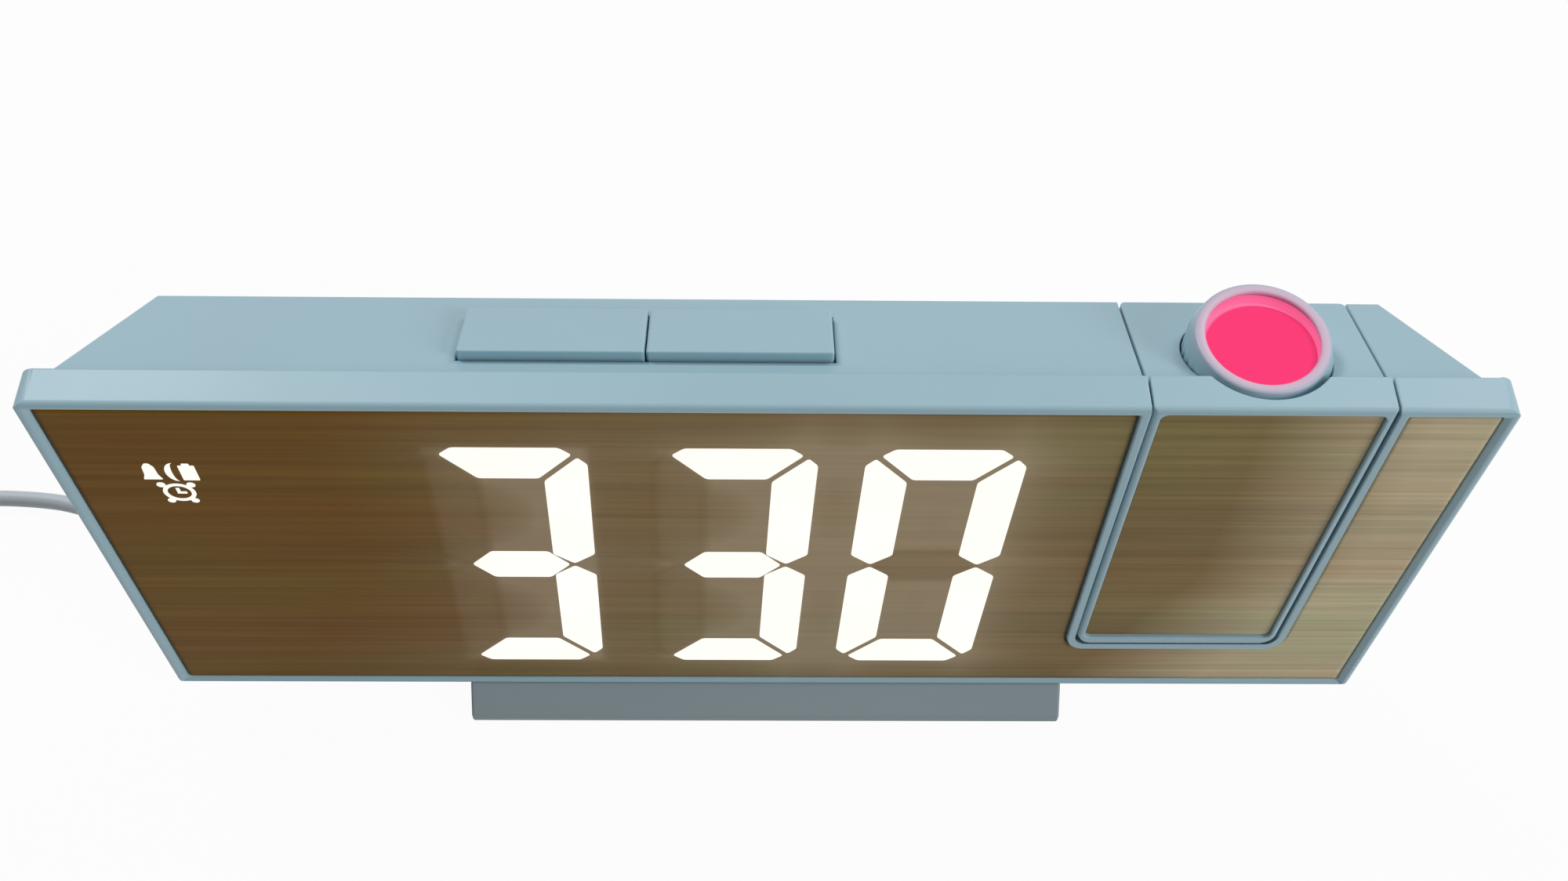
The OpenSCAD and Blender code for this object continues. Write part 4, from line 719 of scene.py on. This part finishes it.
def add_wood_front(material):
    """The wood-grain panel: three patches round the opening for the projector. It carries the digits' painted
    light: a faint bleed over the unlit strokes, and a glow that fades away from the lit ones, mostly within
    their own digit."""
    width, height = opening_outline(12)
    middle = (tile_low.x + tile_high.x) / 2
    z_low, z_high = panel_low.z - foot_z, panel_high.z - foot_z
    step = 0.7 * MM
    below = np.linspace(z_low, height[0], int((height[0] - z_low) / step) + 1)
    above = np.linspace(height[-1], z_high, int((z_high - height[-1]) / step) + 1)
    z = np.concatenate([below[:-1], height, above[1:]])
    half = np.interp(z, height, width)
    left = panel_patch(np.full(len(z), panel_low.x), middle - half, z, columns=200)
    right = panel_patch(middle + half, np.full(len(z), panel_high.x), z, columns=20)
    edge = np.full(len(below), width[0])
    under = panel_patch(middle - edge, middle + edge, below, columns=42)
    points, faces = [], []
    for patch in (left, right, under):
        first = sum(map(len, points))
        faces.append(grid_faces(patch.shape[0], patch.shape[1]) + first)
        points.append(patch.reshape(-1, 3))
    made = piece("wood_front", np.concatenate(points), np.concatenate(faces), material, "clock",
                 ["wood_panel"])
    close_poles(made)
    x, _, z = vertex_places(made.data).T
    z = z - foot_z
    unlit = np.min([distance_to(o, x, z) for o in all_strokes(False)], axis=0)
    cell = np.array([(0, 0), (digit_w, 0), (digit_w, digit_h), (0, digit_h)])
    fade = 5 * MM
    # painted glow from the lit strokes, fading with distance, weaker outside their digit
    painted_glow = np.zeros(len(x))
    beyond = np.interp(x, [-25 * MM, 5 * MM], [0.25, 0.65])
    for place, lit in LIT.items():
        away = [distance_to(placed_stroke(strokes()[i], place), x, z) for i in lit]
        within = np.clip(0.5 - distance_to(placed_stroke(cell, place), x, z) / (3 * MM), beyond, 1)
        painted_glow += within * np.sum([np.exp(-np.maximum(d, 0) / fade) for d in away], axis=0)
    # painted bleed of the digits' light over the unlit strokes, where the painted glow is dimmed
    painted_bleed = np.clip(0.5 - unlit / MM, 0, 1)
    dimmed = 0.65 * np.clip(1 - unlit / (1.5 * MM), 0, 1)
    values = {"painted_glow": np.minimum(painted_glow, 1.1) * (1 - dimmed), "painted_bleed": painted_bleed}
    for label, value in values.items():
        made.data.attributes.new(label, "FLOAT", "POINT").data.foreach_set("value", value.astype(np.float32))
    wall = made.modifiers.new("thickness", "SOLIDIFY")
    wall.thickness = panel_high.y - panel_low.y
    wall.offset = -1


def add_lit_marks(material):
    """The lit strokes and marks, as thin plates that stand a hair's breadth before the film."""
    front = panel_low.y - face_y - 0.05 * MM
    back = front + 0.2 * MM
    outlines = [softened(o, 0.5 * MM) for o in all_strokes(True)]
    plates("lit_digits", outlines, front, back, material, "clock")
    add_marks(front, back, material)


def add_marks(front, back, material):
    """The lit marks: a bell, a crescent and a cell in a row, and an alarm clock with its hands below them."""
    angle = np.linspace(0, 2 * np.pi, 40, endpoint=False)
    disc = np.stack([np.cos(angle), np.sin(angle)], axis=-1)
    row = np.array([-80.5, 63.4]) * MM
    dial = np.array([-80.4, 58.3]) * MM
    bell = [(-1.3, -1.8), (1.3, -1.8), (0.9, -0.6), (0.8, 1.2),
            (0.3, 2.1), (-0.3, 2.1), (-0.8, 1.2), (-0.9, -0.6)]
    cell = [(-1.1, -2), (1.1, -2), (1.1, 1.6), (0.5, 1.6),
            (0.5, 2.1), (-0.5, 2.1), (-0.5, 1.6), (-1.1, 1.6)]
    bulge = np.linspace(0.5 * np.pi, 1.5 * np.pi, 16)
    outer = np.stack([np.cos(bulge) * 1.4 + 0.9, np.sin(bulge) * 2.2], axis=-1)
    inner = np.stack([np.cos(bulge) * 0.5 + 0.9, np.sin(bulge) * 2.2], axis=-1)
    crescent = np.concatenate([outer, inner[-2:0:-1]])
    hands = [(-0.3, 1.1), (-0.3, -0.3), (1, -0.3), (1, 0.2), (0.2, 0.2), (0.2, 1.1)]
    outlines = [softened(np.array(bell) * MM, 0.2 * MM, 4) + row + [-2.5 * MM, 0],
                crescent * MM + row,
                softened(np.array(cell) * MM, 0.15 * MM, 4) + row + [2.6 * MM, 0],
                np.array(hands)[::-1] * MM + dial]
    outlines += [disc * 0.55 * MM + dial + [x * MM, -2.1 * MM] for x in (-1.6, 1.6)]
    outlines += [disc * 0.6 * MM + dial + [x * MM, 1.9 * MM] for x in (-2, 2)]
    plates("lit_marks", outlines, front, back, material, "clock")
    rim = [disc * 2.2 * MM + dial, disc * 1.6 * MM + dial]
    corners = [(rim[0], front), (rim[1], front), (rim[1], back), (rim[0], back), (rim[0], front)]
    loop = np.stack([at(outline[:, 0], y, outline[:, 1]) for outline, y in corners])
    made = piece("lit_dial", loop, grid_faces(5, len(angle), True), material, "clock")
    close_poles(made)


# ================= projector =================

def add_focus_ring(material):
    """The focus ring: a wall turned about the lens axis that narrows to a round-nosed lip, its outer face
    waved by grip flutes whose depth fades out below the lip."""
    centre = (ring_low + ring_high) / 2
    outer = (ring_high.x - ring_low.x) / 2
    bore, brow, eye = outer - 1.2 * MM, outer - 0.65 * MM, 7.5 * MM
    low, high = ring_low.z, ring_high.z
    ease, nose = 0.5 * MM, 0.35 * MM
    grip = high - 2.4 * MM
    turn = np.linspace(0, np.pi / 2, 5)
    half_turn = np.linspace(0, np.pi, 7)
    profile = np.concatenate([
        [(outer, z) for z in np.linspace(low, grip, 9)],
        np.stack([brow - ease + ease * np.cos(turn), high - ease + ease * np.sin(turn)], axis=-1),
        np.stack([eye + nose - nose * np.sin(half_turn), high - nose + nose * np.cos(half_turn)], axis=-1),
        [(bore, high - 2 * nose), (bore, low), (outer, low)]])
    flutes, around = 36, 36 * 8
    grid = lathe(profile, centre, around)
    angle = np.arange(around) * 2 * np.pi / around
    fade = np.clip((high - 3 * MM - profile[:, 1]) / (0.6 * MM), 0, 1) * (profile[:, 0] > outer - 0.01 * MM)
    depth = 0.2 * MM * fade[:, None] * np.maximum(0, np.cos(flutes * angle)) ** 0.5
    grid[..., 0] -= depth * np.cos(angle)
    grid[..., 1] -= depth * np.sin(angle)
    made = piece("grip_ring", grid, grid_faces(len(profile), around, True), material, "focus_ring",
                 ["focus_ring"])
    close_poles(made)


def add_lens(material):
    """The projection lens: a cap of a ball on a flat underside. At each distance from the axis, the cap's
    height over the ball's middle is the root of the ball's radius squared less that distance squared."""
    centre = (lens_low + lens_high) / 2
    radius = (lens_high.x - lens_low.x) / 2
    thick = lens_high.z - lens_low.z
    crown = thick - 2 * MM
    r = radius * np.sin(np.linspace(0, np.pi / 2, 24))
    ball = (radius**2 + crown**2) / (2 * crown)
    z = lens_high.z - ball + np.sqrt(ball**2 - r**2)
    profile = np.concatenate([np.stack([r, z], axis=-1), [(radius, lens_low.z), (0, lens_low.z)]])
    sides = 72
    grid = lathe(profile, centre, sides)
    made = piece("lit_lens", grid, grid_faces(len(profile), sides, True), material, "lens_carrier",
                 ["projection_lens"])
    close_poles(made)


# ================= stage =================

def in_sight(tree):
    """1 for what is seen straight, in a reflection or through something clear, and 0 for light."""
    path = add(tree, "ShaderNodeLightPath")
    seen = math_of(tree, "MAXIMUM", path.outputs["Is Camera Ray"], path.outputs["Is Glossy Ray"])
    return math_of(tree, "MAXIMUM", seen, path.outputs["Is Transmission Ray"])


def add_stage():
    """A pale floor, almost white where it is seen, so that only soft shadows show on it."""
    half = 3.0
    drop = -0.2 * MM
    corners = [(-half, -half, drop), (half, -half, drop), (half, half, drop), (-half, half, drop)]
    mesh = bpy.data.meshes.new("floor")
    mesh.from_pydata(corners, [], [(0, 1, 2, 3)])
    floor = bpy.data.objects.new("floor", mesh)
    bpy.context.scene.collection.objects.link(floor)
    material, tree, principled = shader("Pale floor", Roughness=0.9, Base_Color=(0.6, 0.6, 0.6, 1))
    paper = add(tree, "ShaderNodeEmission", {"Color": (1, 1, 1, 1), "Strength": 1.0})
    blend = add(tree, "ShaderNodeMixShader", {"Fac": math_of(tree, "MULTIPLY", in_sight(tree), 0.96)})
    tree.links.new(principled.outputs["BSDF"], blend.inputs[1])
    tree.links.new(paper.outputs["Emission"], blend.inputs[2])
    tree.links.new(blend.outputs["Shader"], tree.nodes["Material Output"].inputs["Surface"])
    mesh.materials.append(material)


def add_world():
    """White where it is seen, and a soft even light elsewhere."""
    world = bpy.data.worlds.new("room")
    world.use_nodes = True
    tree = world.node_tree
    background = tree.nodes["Background"]
    tree.links.new(spread(tree, in_sight(tree), 0, 1, 0.2, 1.0), background.inputs["Strength"])
    background.inputs["Color"].default_value = (1, 1, 1, 1)
    bpy.context.scene.world = world


def add_light(name, place, size, power, target=(0, 0, 0.04)):
    """A square soft light that faces the target."""
    data = bpy.data.lights.new(name, "AREA")
    data.energy = power
    data.size = size
    made = bpy.data.objects.new(name, data)
    bpy.context.scene.collection.objects.link(made)
    aim = Vector(target) - Vector(place)
    made.matrix_world = Matrix.Translation(place) @ aim.to_track_quat("-Z", "Y").to_matrix().to_4x4()


def add_studio():
    """A key from the right and the front that shapes the rims, and a soft light behind either end."""
    add_light("key", (0.9, -0.55, 0.7), 0.5, 7.0)
    add_light("left back", (-0.55, 0.6, 0.95), 0.4, 6.0)
    add_light("right back", (0.65, 0.65, 0.95), 0.4, 3.4)


# ================= the clock =================

def dress_nodes(materials):
    """Gives every CAD node the material of its slot in the record."""
    for row in frame["record"]["subparts"]:
        data = frame["nodes"][row["node"]].data
        data.materials.clear()
        data.materials.append(materials[row["material_slot"]])


def main():
    """The dressed clock on its stage."""
    add_camera()
    materials = make_materials()
    add_lead(materials["lead"])
    dress_nodes(materials)
    # the lens barrel gets the painted pink glow
    frame["nodes"]["lens_barrel"].data.materials[0] = materials["barrel"]
    shell = materials["shell"]
    finished("frame_shell", "front_frame", 0.25 * MM, "clock", shell, 0.6 * MM)
    finished("cover_shell", "rear_cover", 0.2 * MM, "clock", shell, 0.6 * MM)
    finished("projector_face", "block_front", 0.2 * MM, "projector_block", shell)
    finished("projector_back", "block_rear", 0.2 * MM, "projector_block", shell, 0.6 * MM)
    finished("snooze_bar", "snooze_key", 0.4 * MM, "snooze_key", shell)
    finished("light_bar", "light_key", 0.4 * MM, "light_key", shell)
    finished("battery_cover", "battery_door", 0.3 * MM, "clock", shell)
    finished("low_stand", "stand", 0.5 * MM, "clock", materials["stand"])
    for i in range(1, 6):
        finished(f"rear_button_{i}", f"rear_key_{i}", 0.35 * MM, f"rear_key_{i}", shell)
    film = materials["wood_film"]
    finished("projector_tile", "block_panel", 0.1 * MM, "projector_block", film)
    add_wood_front(film)
    add_lit_marks(materials["digit_light"])
    add_focus_ring(materials["rim"])
    add_lens(materials["lens"])
    add_stage()
    add_world()
    add_studio()
    bpy.context.scene.view_settings.view_transform = "Standard"


main()
